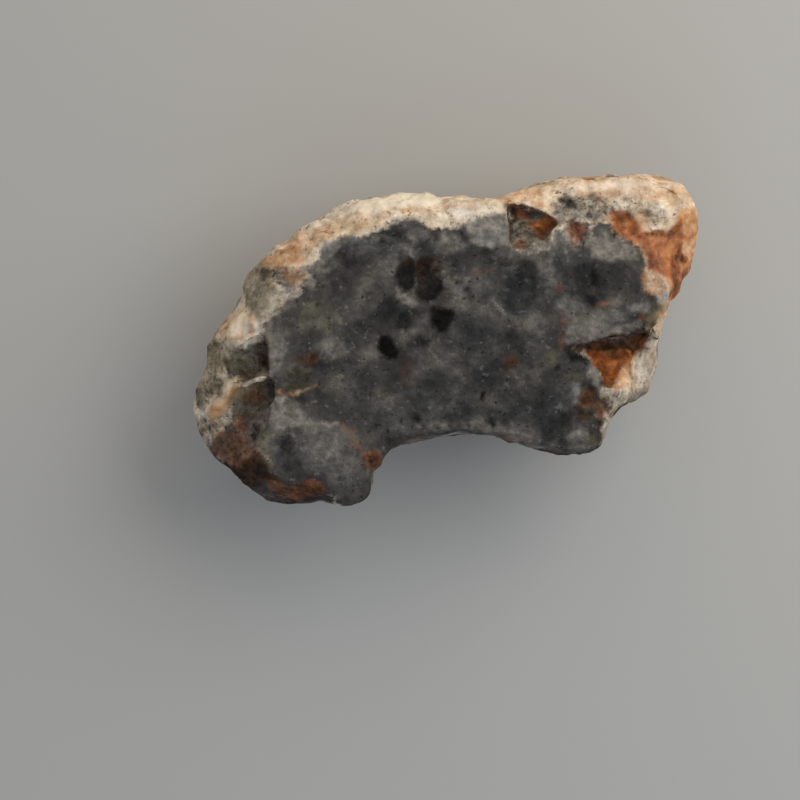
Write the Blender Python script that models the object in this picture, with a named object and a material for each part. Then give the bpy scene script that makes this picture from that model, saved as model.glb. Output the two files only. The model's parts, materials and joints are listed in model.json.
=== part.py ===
"""Lunar meteorite: a small chip of breccia with one flat broken face and a weathered rind.

The stone rests on a small flat of its belly, with the broken face up. It is one solid.
Everything is worked out in millimetres and turned to metres at the end.
X runs along the stone, Y across it and Z up. The origin is under the middle of the stone.
"""
import math

import bmesh
import bpy
import numpy as np
from mathutils import Matrix, Vector, noise

METRES_PER_MM = 0.001

# Driving dimensions in millimetres
FACE_HEIGHT = 3.6       # the broken face above the surface that the stone rests on
KEEL_DEPTH = 0.10       # how far the rounded belly would reach below its resting flat
KEEL_LEFT = (-1.25, -0.55)
KEEL_RIGHT = (1.7, 0.6)
BELLY_FULLNESS = 2.15   # 2 is an ellipse, more is fuller

SHOULDER_STRAIGHTNESS = 0.6   # 1 is a straight bevel, 0 a quarter round

# How finely the outline and the two slopes are drawn
CURVE_STEPS = 4
SHOULDER_STEPS = 5
BELLY_STEPS = 12

VOXEL = 0.1             # mesh spacing while the surface is shaped
TRIANGLE_LIMIT = 9700
FLATNESS = 0.012        # belly points this near to the resting plane are laid on it

# The stone's outline, clockwise as seen from above. Each station gives the edge of the
# broken face (x, y), the widest line of the stone outside it (x, y), and how far that
# line lies below the face.
LEFT_END = [
    (-3.55, -0.64, -5.01, -0.86, 1.10),
    (-3.59, -0.20, -4.89, -0.36, 1.00),
    (-3.67, 0.14, -4.81, -0.06, 0.95),
    (-3.71, 0.44, -4.61, 0.24, 0.90),
    (-3.59, 0.70, -4.29, 0.54, 0.90),
    (-3.39, 0.98, -4.07, 0.86, 0.90),
    (-3.19, 1.26, -3.91, 1.22, 0.85),
]
UPPER_RIND = [
    (-2.91, 1.54, -3.67, 1.54, 0.80),
    (-2.59, 1.82, -3.33, 1.90, 0.80),
    (-2.23, 2.02, -2.89, 2.20, 0.75),
    (-1.83, 2.12, -2.43, 2.48, 0.75),
    (-1.43, 2.24, -1.95, 2.74, 0.75),
    (-1.03, 2.36, -1.43, 2.88, 0.80),
    (-0.61, 2.42, -0.87, 2.95, 0.80),
    (-0.19, 2.42, -0.31, 2.96, 0.75),
    (0.25, 2.54, 0.23, 2.86, 0.60),
    (0.69, 2.72, 0.67, 2.82, 0.35),
    (1.13, 2.76, 1.11, 2.89, 0.35),
    (1.55, 2.80, 1.53, 2.99, 0.42),
    (1.95, 2.92, 1.91, 3.14, 0.50),
    (2.37, 3.02, 2.37, 3.23, 0.55),
    (2.85, 3.06, 2.85, 3.25, 0.60),
    (3.35, 3.08, 3.37, 3.32, 0.62),
    (3.85, 3.06, 3.89, 3.34, 0.65),
    (4.25, 2.98, 4.35, 3.27, 0.70),
]
RIGHT_END = [
    (4.51, 2.80, 4.71, 3.08, 0.75),
    (4.55, 2.54, 4.93, 2.74, 0.85),
    (4.39, 2.24, 5.07, 2.38, 0.95),
    (4.21, 1.94, 5.01, 2.00, 1.00),
    (4.11, 1.64, 4.95, 1.64, 1.05),
    (4.15, 1.36, 4.83, 1.28, 1.05),
    (4.25, 1.10, 4.69, 1.00, 1.00),
    (4.33, 0.84, 4.55, 0.72, 0.95),
    (4.29, 0.56, 4.43, 0.44, 1.10),
    (4.17, 0.30, 4.33, 0.16, 1.30),
    (4.01, 0.04, 4.27, -0.14, 1.50),
    (3.85, -0.26, 4.25, -0.44, 1.60),
    (3.67, -0.58, 4.19, -0.76, 1.60),
    (3.51, -0.90, 4.07, -1.02, 1.50),
    (3.35, -1.20, 3.79, -1.22, 1.30),
    (3.23, -1.48, 3.45, -1.42, 0.80),
    (3.17, -1.76, 3.23, -1.74, 0.40),
    (3.09, -2.02, 3.13, -2.06, 0.30),
]
LOWER_EDGE = [
    (2.93, -2.12, 2.98, -2.17, 0.28),
    (2.65, -2.16, 2.65, -2.20, 0.25),
    (2.25, -2.14, 2.25, -2.18, 0.25),
    (1.89, -2.07, 1.89, -2.12, 0.25),
    (1.53, -1.98, 1.53, -2.03, 0.25),
    (0.81, -1.87, 0.81, -1.92, 0.25),
    (0.01, -1.85, 0.01, -1.90, 0.25),
    (-0.75, -2.00, -0.75, -2.06, 0.25),
    (-1.25, -2.24, -1.21, -2.31, 0.25),
    (-1.33, -2.44, -1.29, -2.52, 0.25),
    (-1.53, -2.56, -1.49, -2.62, 0.25),
    (-1.57, -2.80, -1.51, -2.82, 0.25),
    (-1.58, -3.04, -1.52, -3.08, 0.25),
    (-1.74, -3.18, -1.70, -3.24, 0.28),
    (-2.07, -3.22, -2.07, -3.31, 0.30),
]
LOWER_LEFT_LOBE = [
    (-2.31, -3.12, -2.33, -3.28, 0.35),
    (-2.53, -2.94, -2.53, -3.21, 0.55),
    (-2.85, -2.86, -2.83, -3.23, 0.70),
    (-3.17, -2.78, -3.19, -3.24, 0.80),
    (-3.41, -2.64, -3.53, -3.16, 0.85),
    (-3.61, -2.44, -3.82, -2.99, 0.95),
    (-3.75, -2.24, -4.07, -2.78, 1.00),
    (-3.71, -2.02, -4.30, -2.55, 1.00),
    (-3.63, -1.80, -4.54, -2.36, 1.00),
    (-3.57, -1.58, -4.72, -2.15, 1.05),
    (-3.53, -1.38, -4.84, -1.90, 1.10),
    (-3.51, -1.18, -4.97, -1.64, 1.10),
    (-3.51, -1.00, -5.08, -1.36, 1.15),
    (-3.53, -0.82, -5.09, -1.10, 1.15),
]
STATIONS = LEFT_END + UPPER_RIND + RIGHT_END + LOWER_EDGE + LOWER_LEFT_LOBE

# Hollows that broke or weathered out of the stone. Each has the outline of its mouth and
# three points of its floor, given as x, y and depth below the face.
HOLLOWS = {
    "upper_slope": (
        [(0.90, 2.95), (1.30, 2.62), (1.90, 2.42), (2.60, 2.42), (3.30, 2.30), (3.80, 2.02),
         (4.00, 1.60), (4.10, 1.20), (4.60, 0.90), (5.40, 1.50), (5.40, 3.70), (0.90, 3.70)],
        [(1.30, 2.62, 0.00), (4.00, 1.60, 0.00), (4.20, 3.00, 0.32)],
    ),
    "side_cavity": (
        [(2.33, -0.10), (2.71, -0.12), (3.07, -0.02), (3.37, 0.11), (3.65, 0.14), (3.95, 0.13),
         (4.45, 0.06), (4.55, -0.60), (3.51, -0.98), (3.19, -0.94), (3.11, -0.62), (2.85, -0.36)],
        [(3.25, -0.92, 0.18), (2.70, -0.20, 0.40), (3.95, 0.05, 1.00)],
    ),
    "cavity_side": (
        [(4.02, 0.10), (4.60, -0.05), (4.60, -1.10), (3.75, -1.35), (3.45, -1.00), (3.57, -0.60),
         (3.80, -0.28)],
        [(3.85, -0.26, 0.78), (3.51, -0.90, 0.22), (4.25, -0.44, 1.45)],
    ),
    "top_pit": (
        [(1.21, 2.72), (1.63, 2.64), (1.97, 2.50), (2.23, 2.36), (2.09, 2.20), (1.97, 1.88),
         (1.77, 1.92), (1.55, 1.80), (1.29, 1.86)],
        [(1.32, 2.60, 0.42), (2.15, 2.36, 0.30), (1.60, 1.80, 0.03)],
    ),
    "left_hollow": (
        [(-4.75, -0.30), (-4.20, -0.16), (-3.83, 0.06), (-3.66, 0.10), (-3.62, -0.50), (-3.66, -0.74),
         (-4.10, -0.84), (-4.65, -0.80)],
        [(-3.70, -0.30, 0.32), (-4.60, -0.40, 0.52), (-3.75, -0.70, 0.38)],
    ),
    "lower_hollow": (
        [(-4.40, -1.10), (-3.90, -0.84), (-3.56, -0.76), (-3.49, -0.90), (-3.49, -1.24),
         (-3.75, -1.30), (-4.30, -1.45)],
        [(-3.60, -0.90, 0.26), (-4.30, -1.10, 0.48), (-3.70, -1.25, 0.22)],
    ),
}
CUTTER_TOP = 0.5        # how far each cutter stands above the face
FLOOR_SHRINK = 0.9      # a hollow's floor against its mouth
MOUTH_FLARE = 1.03      # the cutter's top against its mouth

# Old fracture planes that bite the corners off the belly: direction and depth of the bite
FRACTURES = {
    "front": ((0.10, -0.84, -0.53), 0.34),
    "back": ((-0.30, 0.72, -0.62), 0.42),
    "left": ((-0.74, 0.12, -0.66), 0.40),
    "right": ((0.72, 0.30, -0.62), 0.44),
    "front_right": ((0.62, -0.52, -0.59), 0.36),
    "front_left": ((-0.50, -0.58, -0.64), 0.40),
}
FRACTURE_BLOCK = 12.0   # side of the block that cuts a fracture plane

# Low relief: outline, height above or below the surface, and width of its edge
RELIEF = {
    "ledge": (
        [(2.29, 0.30), (2.75, 0.56), (3.25, 0.76), (3.85, 0.84), (4.15, 0.80), (4.29, 0.56),
         (4.09, 0.28), (3.85, 0.18), (3.35, 0.06), (2.85, -0.04), (2.35, -0.06)],
        0.07, 0.07,
    ),
    "cream_ridge": (
        [(-4.90, -1.44), (-4.50, -1.06), (-4.16, -0.84), (-3.60, -0.66), (-3.60, -0.78),
         (-4.10, -0.98), (-4.42, -1.20), (-4.74, -1.50)],
        0.13, 0.08,
    ),
    "pale_lump": (
        [(-4.30, 0.06), (-3.90, 0.10), (-3.72, -0.04), (-3.90, -0.20), (-4.25, -0.20)],
        0.12, 0.10,
    ),
    "rust_knob": (
        [(-1.75, -2.24), (-1.45, -2.20), (-1.25, -2.32), (-1.35, -2.52), (-1.62, -2.56)],
        0.08, 0.08,
    ),
    "lower_shelf": (
        [(-4.50, -1.90), (-4.10, -1.70), (-3.75, -1.85), (-3.80, -2.15), (-4.20, -2.40), (-4.60, -2.25)],
        -0.14, 0.10,
    ),
    "narrow_pit": (
        [(2.43, 2.42), (2.75, 2.44), (2.73, 2.10), (2.65, 1.78), (2.51, 1.84), (2.47, 2.14)],
        -0.12, 0.08,
    ),
    "rust_facet": (
        [(3.27, 2.56), (3.49, 2.60), (3.69, 2.46), (3.85, 2.24), (3.79, 2.08), (3.55, 2.04),
         (3.37, 2.28)],
        -0.10, 0.09,
    ),
    "corner_pit_upper": (
        [(2.61, -0.94), (2.85, -0.90), (2.99, -1.00), (2.97, -1.22), (2.87, -1.36), (2.67, -1.28)],
        -0.12, 0.07,
    ),
    "corner_pit_lower": (
        [(2.57, -1.36), (2.81, -1.34), (2.89, -1.50), (2.73, -1.60), (2.57, -1.54)],
        -0.09, 0.06,
    ),
    "corner_pit_edge": (
        [(3.01, -1.28), (3.15, -1.26), (3.25, -1.40), (3.21, -1.58), (3.03, -1.54)],
        -0.10, 0.07,
    ),
    "face_dip": (
        [(-3.17, -0.24), (-2.80, -0.20), (-2.53, -0.34), (-2.55, -0.72), (-2.90, -0.86), (-3.15, -0.70)],
        -0.08, 0.20,
    ),
}

# Lumps of the weathered rind and of the broken face: their size and their height
RIND_LUMPS = ((1.9, 0.16), (0.75, 0.085), (0.34, 0.04))
FACE_LUMPS = ((1.6, 0.022), (0.5, 0.014))
LUMP_OCTAVES = 2
LUMP_ROUGHNESS = 1.0
LUMP_LACUNARITY = 2.0

# Where the face ends: height off its plane, and how upright the surface still is
FACE_BAND = 0.06
FACE_TILT = (0.80, 0.97)
RELIEF_TILT = (0.0, 0.5)

STONE_COLOUR = (0.075, 0.068, 0.060, 1.0)
STONE_ROUGHNESS = 0.82


def clear_scene():
    for item in list(bpy.data.objects):
        bpy.data.objects.remove(item)


def closed_curve(rows, steps):
    """A smooth closed curve through the rows, which may have any number of columns."""
    points = np.array(rows)
    before = np.roll(points, 1, axis=0)
    after = np.roll(points, -1, axis=0)
    beyond = np.roll(points, -2, axis=0)
    curve = []
    for step in range(steps):
        t = step / steps
        curve.append(
            points
            + 0.5 * t * (after - before)
            + 0.5 * t ** 2 * (2 * before - 5 * points + 4 * after - beyond)
            + 0.5 * t ** 3 * (3 * points - before - 3 * after + beyond)
        )
    return np.stack(curve, axis=1).reshape(-1, points.shape[1])


def keel_points(outline):
    """For each point of the outline, the point of the keel that it draws in to."""
    left = np.array(KEEL_LEFT)
    right = np.array(KEEL_RIGHT)
    share = np.clip((outline[:, 0] - left[0]) / (right[0] - left[0]), 0, 1)
    return left + share[:, None] * (right - left)


def stone_rings():
    """Rings of points from the edge of the face, over the widest line, to the keel."""
    rows = closed_curve(STATIONS, CURVE_STEPS)
    face_edge = rows[:, 0:2]
    widest = rows[:, 2:4]
    drop = rows[:, 4]
    rings = []
    for step in range(SHOULDER_STEPS + 1):
        t = step / SHOULDER_STEPS
        fall = SHOULDER_STRAIGHTNESS * t + (1 - SHOULDER_STRAIGHTNESS) * (1 - math.sqrt(1 - t * t))
        flat = face_edge + t * (widest - face_edge)
        rings.append(np.column_stack((flat, FACE_HEIGHT - fall * drop)))
    keel = keel_points(widest)
    shoulder_height = FACE_HEIGHT - drop
    for step in range(1, BELLY_STEPS):
        angle = 0.5 * math.pi * step / BELLY_STEPS
        inward = math.cos(angle) ** (2 / BELLY_FULLNESS)
        down = math.sin(angle) ** (2 / BELLY_FULLNESS)
        flat = keel + inward * (widest - keel)
        rings.append(np.column_stack((flat, shoulder_height - down * (shoulder_height + KEEL_DEPTH))))
    return rings


def mesh_from_rings(name, rings):
    """A closed mesh through rings of equal length, with a cap on each end."""
    mesh = bpy.data.meshes.new(name)
    shape = bmesh.new()
    loops = [[shape.verts.new(point) for point in ring] for ring in rings]
    for upper, lower in zip(loops, loops[1:]):
        for index in range(len(upper)):
            following = (index + 1) % len(upper)
            shape.faces.new((upper[index], upper[following], lower[following], lower[index]))
    shape.faces.new(loops[0])
    shape.faces.new(loops[-1])
    bmesh.ops.recalc_face_normals(shape, faces=shape.faces)
    shape.to_mesh(mesh)
    shape.free()
    return mesh


def add_cutter(stone, name, mesh):
    """Cut the mesh out of the stone and keep it as a guide."""
    cutter = bpy.data.objects.new("cutter_" + name, mesh)
    cutter.hide_render = True
    cutter.display_type = "WIRE"
    bpy.context.collection.objects.link(cutter)
    cut = stone.modifiers.new(name, "BOOLEAN")
    cut.operation = "DIFFERENCE"
    cut.object = cutter


def hollow_mesh(name, mouth, floor):
    """A block with the hollow's outline, whose underside is the hollow's floor."""
    mouth = np.array(mouth)
    middle = mouth.mean(axis=0)
    shrunk = middle + FLOOR_SHRINK * (mouth - middle)
    floor = np.array(floor)
    plane = np.linalg.solve(np.column_stack((floor[:, 0:2], np.ones(3))), floor[:, 2])
    depth = shrunk @ plane[0:2] + plane[2]
    flared = middle + MOUTH_FLARE * (mouth - middle)
    top = np.column_stack((flared, np.full(len(mouth), FACE_HEIGHT + CUTTER_TOP)))
    bottom = np.column_stack((shrunk, FACE_HEIGHT - depth))
    return mesh_from_rings("cutter_" + name, [top, bottom])


def fracture_mesh(name, rings, direction, bite):
    """A block whose near side is the fracture plane."""
    normal = Vector(direction).normalized()
    reach = max(float(np.max(ring @ np.array(normal))) for ring in rings)
    turn = normal.to_track_quat("Z", "Y").to_matrix().to_4x4()
    shift = Matrix.Translation(normal * (reach - bite + 0.5 * FRACTURE_BLOCK))
    mesh = bpy.data.meshes.new("cutter_" + name)
    shape = bmesh.new()
    bmesh.ops.create_cube(shape, size=FRACTURE_BLOCK, matrix=shift @ turn)
    shape.to_mesh(mesh)
    shape.free()
    return mesh


def apply_modifiers(item):
    """Turn the modified shape into the object's own mesh."""
    evaluated = item.evaluated_get(bpy.context.evaluated_depsgraph_get())
    mesh = bpy.data.meshes.new_from_object(evaluated)
    item.modifiers.clear()
    item.data = mesh


def distance_inside(points, outline):
    """Distance of each x, y point from the outline, positive inside it."""
    corners = np.array(outline)
    nearest = np.full(len(points), np.inf)
    inside = np.zeros(len(points), dtype=bool)
    for start, end in zip(corners, np.roll(corners, -1, axis=0)):
        along = end - start
        offset = points - start
        share = np.clip(offset @ along / (along @ along), 0, 1)
        nearest = np.minimum(nearest, np.linalg.norm(offset - share[:, None] * along, axis=1))
        crosses = (start[1] > points[:, 1]) != (end[1] > points[:, 1])
        rise = end[1] - start[1] if end[1] != start[1] else 1.0
        inside ^= crosses & (points[:, 0] < start[0] + (points[:, 1] - start[1]) * along[0] / rise)
    return np.where(inside, nearest, -nearest)


def smooth_step(low, high, values):
    t = np.clip((values - low) / (high - low), 0, 1)
    return t * t * (3 - 2 * t)


def lump_height(position, lumps):
    """Sum of the noises, each with its own size and height."""
    return sum(
        height * noise.fractal(position / size, LUMP_ROUGHNESS, LUMP_LACUNARITY, LUMP_OCTAVES)
        for size, height in lumps
    )


def roughen(stone):
    """Give the remeshed stone its low relief and the lumps of its broken surfaces."""
    mesh = stone.data
    count = len(mesh.vertices)
    points = np.empty(count * 3)
    normals = np.empty(count * 3)
    mesh.vertices.foreach_get("co", points)
    mesh.vertices.foreach_get("normal", normals)
    points = points.reshape(-1, 3)
    normals = normals.reshape(-1, 3)
    level = smooth_step(FACE_BAND, 0.0, np.abs(points[:, 2] - FACE_HEIGHT))
    on_face = level * smooth_step(*FACE_TILT, normals[:, 2])
    rind = np.array([lump_height(Vector(point), RIND_LUMPS) for point in points])
    face = np.array([lump_height(Vector(point), FACE_LUMPS) for point in points])
    moved = points + normals * (rind * (1 - on_face) + face * on_face)[:, None]
    facing_up = smooth_step(*RELIEF_TILT, normals[:, 2])
    for outline, height, edge in RELIEF.values():
        weight = smooth_step(-edge, edge, distance_inside(points[:, 0:2], outline))
        moved[:, 2] += height * weight * facing_up
    moved[:, 2] = np.maximum(moved[:, 2], 0)
    mesh.vertices.foreach_set("co", moved.ravel())
    mesh.update()


def lay_flat(stone):
    """Bring the resting flat exactly onto the plane that the stone rests on."""
    mesh = stone.data
    for vertex in mesh.vertices:
        if vertex.co.z < FLATNESS:
            vertex.co.z = 0
    mesh.update()


def stone_material():
    material = bpy.data.materials.new("lunar_breccia")
    material.use_nodes = True
    shader = material.node_tree.nodes["Principled BSDF"]
    shader.inputs["Base Color"].default_value = STONE_COLOUR
    shader.inputs["Roughness"].default_value = STONE_ROUGHNESS
    shader.inputs["Metallic"].default_value = 0.0
    return material


def build_meteorite():
    rings = stone_rings()
    stone = bpy.data.objects.new("meteorite", mesh_from_rings("meteorite", rings))
    bpy.context.collection.objects.link(stone)
    for name, (direction, bite) in FRACTURES.items():
        add_cutter(stone, name, fracture_mesh(name, rings, direction, bite))
    for name, (mouth, floor) in HOLLOWS.items():
        add_cutter(stone, name, hollow_mesh(name, mouth, floor))
    remesh = stone.modifiers.new("even_mesh", "REMESH")
    remesh.mode = "VOXEL"
    remesh.voxel_size = VOXEL
    apply_modifiers(stone)
    roughen(stone)
    stone.data.calc_loop_triangles()
    thin = stone.modifiers.new("fewer_triangles", "DECIMATE")
    thin.ratio = TRIANGLE_LIMIT / len(stone.data.loop_triangles)
    apply_modifiers(stone)
    lay_flat(stone)
    stone.data.materials.clear()
    stone.data.materials.append(stone_material())
    stone.data.shade_smooth()
    return stone


def shrink_to_metres():
    """The stone and its cutters were drawn in millimetres."""
    for item in bpy.data.objects:
        item.data.transform(Matrix.Scale(METRES_PER_MM, 4))


clear_scene()
build_meteorite()
shrink_to_metres()
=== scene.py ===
# %% [markdown]
# # A lunar meteorite fragment
# The object is one small chip of lunar breccia, about 10 mm long. Breccia is rock that
# impacts broke, stirred and pressed together again, so its dark grey broken face shows
# angular fragments, called clasts, in a fine grey matrix. Weather on Earth gave the
# outside a rind of cream carbonate and rust. The chip lies on a small flat of its belly
# with the broken face up, and it is seen from straight above.
#
# The imported model is loaded first, as a fixed frame in metres.

# %% Load the frame
import json
import math

import bmesh
import bpy
import numpy as np
from mathutils import Matrix, Vector, noise

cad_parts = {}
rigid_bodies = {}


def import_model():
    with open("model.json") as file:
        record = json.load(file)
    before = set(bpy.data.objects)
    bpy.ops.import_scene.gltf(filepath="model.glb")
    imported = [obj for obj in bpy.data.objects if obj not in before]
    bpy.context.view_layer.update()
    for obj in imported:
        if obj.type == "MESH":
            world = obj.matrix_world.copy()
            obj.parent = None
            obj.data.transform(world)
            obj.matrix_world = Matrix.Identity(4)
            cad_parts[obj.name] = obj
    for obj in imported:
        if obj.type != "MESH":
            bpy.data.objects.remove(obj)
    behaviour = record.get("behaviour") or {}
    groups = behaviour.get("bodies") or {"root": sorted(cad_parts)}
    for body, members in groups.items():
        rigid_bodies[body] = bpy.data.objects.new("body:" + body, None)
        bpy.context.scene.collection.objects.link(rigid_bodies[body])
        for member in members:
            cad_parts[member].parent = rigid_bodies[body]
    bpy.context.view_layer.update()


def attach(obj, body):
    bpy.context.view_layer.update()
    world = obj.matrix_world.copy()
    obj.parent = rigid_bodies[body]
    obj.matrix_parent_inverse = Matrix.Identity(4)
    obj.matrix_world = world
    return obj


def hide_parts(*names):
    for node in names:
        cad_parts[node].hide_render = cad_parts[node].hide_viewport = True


for item in list(bpy.data.objects):
    bpy.data.objects.remove(item)
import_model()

# %% [markdown]
# ## Reading places from the photograph
# The stone fills the photograph as a magnified flat view, so a place on it can be named by
# a pixel and turned into millimetres with one scale. Outlines that carry shape are written
# in millimetres, because they are driving dimensions. Stains and clasts are only colour,
# and they are named by the pixel where they lie.

# %% Scale of the photograph
METRES_PER_MM = 0.001
PIXELS_PER_MM = 50.0
PIXEL_OVER_ORIGIN = np.array((447.5, 340.0))
FRAME_PIXELS = 800


def photo_to_mm(points):
    """Pixels of the photograph, x to the right and y down, as millimetres in the stone's frame."""
    offset = (np.array(points, dtype=float) - PIXEL_OVER_ORIGIN) / PIXELS_PER_MM
    return offset * (1, -1)


print("upper left corner of the photograph in mm:", photo_to_mm((0, 0)))

# %% [markdown]
# ## Camera
# The photograph was taken with the broken face square to a close-up lens. A long lens from
# straight above keeps the outline free of perspective. A new camera already looks down, so
# it isn't turned. It stands over the middle pixel of the frame, so no lens shift is needed,
# and so high that the frame is as wide as the photograph at the height of the broken face.

# %% Camera
FACE_HEIGHT = 3.6
LENS = 300.0
SENSOR = 36.0
frame_width = FRAME_PIXELS / PIXELS_PER_MM
aim = photo_to_mm((0.5 * FRAME_PIXELS, 0.5 * FRAME_PIXELS))
camera_height = FACE_HEIGHT + frame_width * LENS / SENSOR

camera_data = bpy.data.cameras.new("close_up_lens")
camera_data.lens = LENS
camera_data.sensor_width = SENSOR
camera_data.clip_start = METRES_PER_MM
camera = bpy.data.objects.new("camera", camera_data)
camera.location = METRES_PER_MM * Vector((aim[0], aim[1], camera_height))
bpy.context.scene.collection.objects.link(camera)
bpy.context.scene.camera = camera
print(f"camera {camera_height:.1f} mm above the surface, frame {frame_width:.0f} mm wide")

# %% [markdown]
# ## The chip's outline
# A broken chip has no axis to turn about and no profile to extrude. Sculpting it by hand
# would give a shape that nobody could measure. So the outline is a ring of stations: each
# one gives the edge of the broken face, the widest line of the stone outside it, and how
# far that line lies below the face. A smooth closed curve runs through them.

# %% Stations, in millimetres: face x, face y, widest x, widest y, drop
LEFT_END = [
    (-3.55, -0.64, -5.01, -0.86, 1.10),
    (-3.59, -0.20, -4.89, -0.36, 1.00),
    (-3.67, 0.14, -4.81, -0.06, 0.95),
    (-3.71, 0.44, -4.61, 0.24, 0.90),
    (-3.59, 0.70, -4.29, 0.54, 0.90),
    (-3.39, 0.98, -4.07, 0.86, 0.90),
    (-3.19, 1.26, -3.91, 1.22, 0.85),
]
UPPER_RIND = [
    (-2.91, 1.54, -3.67, 1.54, 0.80),
    (-2.59, 1.82, -3.33, 1.90, 0.80),
    (-2.23, 2.02, -2.89, 2.20, 0.75),
    (-1.83, 2.12, -2.43, 2.48, 0.75),
    (-1.43, 2.24, -1.95, 2.74, 0.75),
    (-1.03, 2.36, -1.43, 2.88, 0.80),
    (-0.61, 2.42, -0.87, 2.95, 0.80),
    (-0.19, 2.42, -0.31, 2.96, 0.75),
    (0.25, 2.54, 0.23, 2.86, 0.60),
    (0.69, 2.72, 0.67, 2.82, 0.35),
    (1.13, 2.76, 1.11, 2.89, 0.35),
    (1.55, 2.80, 1.53, 2.99, 0.42),
    (1.95, 2.92, 1.91, 3.14, 0.50),
    (2.37, 3.02, 2.37, 3.23, 0.55),
    (2.85, 3.06, 2.85, 3.25, 0.60),
    (3.35, 3.08, 3.37, 3.32, 0.62),
    (3.85, 3.06, 3.89, 3.34, 0.65),
    (4.25, 2.98, 4.35, 3.27, 0.70),
]
RIGHT_END = [
    (4.51, 2.80, 4.71, 3.08, 0.75),
    (4.55, 2.54, 4.93, 2.74, 0.85),
    (4.39, 2.24, 5.07, 2.38, 0.95),
    (4.21, 1.94, 5.01, 2.00, 1.00),
    (4.11, 1.64, 4.95, 1.64, 1.05),
    (4.15, 1.36, 4.83, 1.28, 1.05),
    (4.25, 1.10, 4.69, 1.00, 1.00),
    (4.33, 0.84, 4.55, 0.72, 0.95),
    (4.29, 0.56, 4.43, 0.44, 1.10),
    (4.17, 0.30, 4.33, 0.16, 1.30),
    (4.01, 0.04, 4.27, -0.14, 1.50),
    (3.85, -0.26, 4.25, -0.44, 1.60),
    (3.67, -0.58, 4.19, -0.76, 1.60),
    (3.51, -0.90, 4.07, -1.02, 1.50),
    (3.35, -1.20, 3.79, -1.22, 1.30),
    (3.23, -1.48, 3.45, -1.42, 0.80),
    (3.17, -1.76, 3.23, -1.74, 0.40),
    (3.09, -2.02, 3.13, -2.06, 0.30),
]
LOWER_EDGE = [
    (2.93, -2.12, 2.98, -2.17, 0.28),
    (2.65, -2.16, 2.65, -2.20, 0.25),
    (2.25, -2.14, 2.25, -2.18, 0.25),
    (1.89, -2.07, 1.89, -2.12, 0.25),
    (1.53, -1.98, 1.53, -2.03, 0.25),
    (0.81, -1.87, 0.81, -1.92, 0.25),
    (0.01, -1.85, 0.01, -1.90, 0.25),
    (-0.75, -2.00, -0.75, -2.06, 0.25),
    (-1.25, -2.24, -1.21, -2.31, 0.25),
    (-1.33, -2.44, -1.29, -2.52, 0.25),
    (-1.53, -2.56, -1.49, -2.62, 0.25),
    (-1.57, -2.80, -1.51, -2.82, 0.25),
    (-1.58, -3.04, -1.52, -3.08, 0.25),
    (-1.74, -3.18, -1.70, -3.24, 0.28),
    (-2.07, -3.22, -2.07, -3.31, 0.30),
]
LOWER_LEFT_LOBE = [
    (-2.31, -3.12, -2.33, -3.28, 0.35),
    (-2.53, -2.94, -2.53, -3.21, 0.55),
    (-2.85, -2.86, -2.83, -3.23, 0.70),
    (-3.17, -2.78, -3.19, -3.24, 0.80),
    (-3.41, -2.64, -3.53, -3.16, 0.85),
    (-3.61, -2.44, -3.82, -2.99, 0.95),
    (-3.75, -2.24, -4.07, -2.78, 1.00),
    (-3.71, -2.02, -4.30, -2.55, 1.00),
    (-3.63, -1.80, -4.54, -2.36, 1.00),
    (-3.57, -1.58, -4.72, -2.15, 1.05),
    (-3.53, -1.38, -4.84, -1.90, 1.10),
    (-3.51, -1.18, -4.97, -1.64, 1.10),
    (-3.51, -1.00, -5.08, -1.36, 1.15),
    (-3.53, -0.82, -5.09, -1.10, 1.15),
]
STATIONS = LEFT_END + UPPER_RIND + RIGHT_END + LOWER_EDGE + LOWER_LEFT_LOBE
print(f"{len(STATIONS)} stations round the stone")

# %% [markdown]
# ## Hollows, fractures and low relief
# Impacts and weather took pieces out of the chip: the rust cavity on the right, the pits
# along the top, and the corners of the belly. On the real stone each is a break along one
# plane, so each is cut with a block whose floor or side is that plane. A cut with a plane
# gives the crisp rims of a break, where a sculpting brush would leave soft ones. Ledges and
# pits that are only about 0.1 mm high or deep aren't cut. They move the mesh later on.

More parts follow.
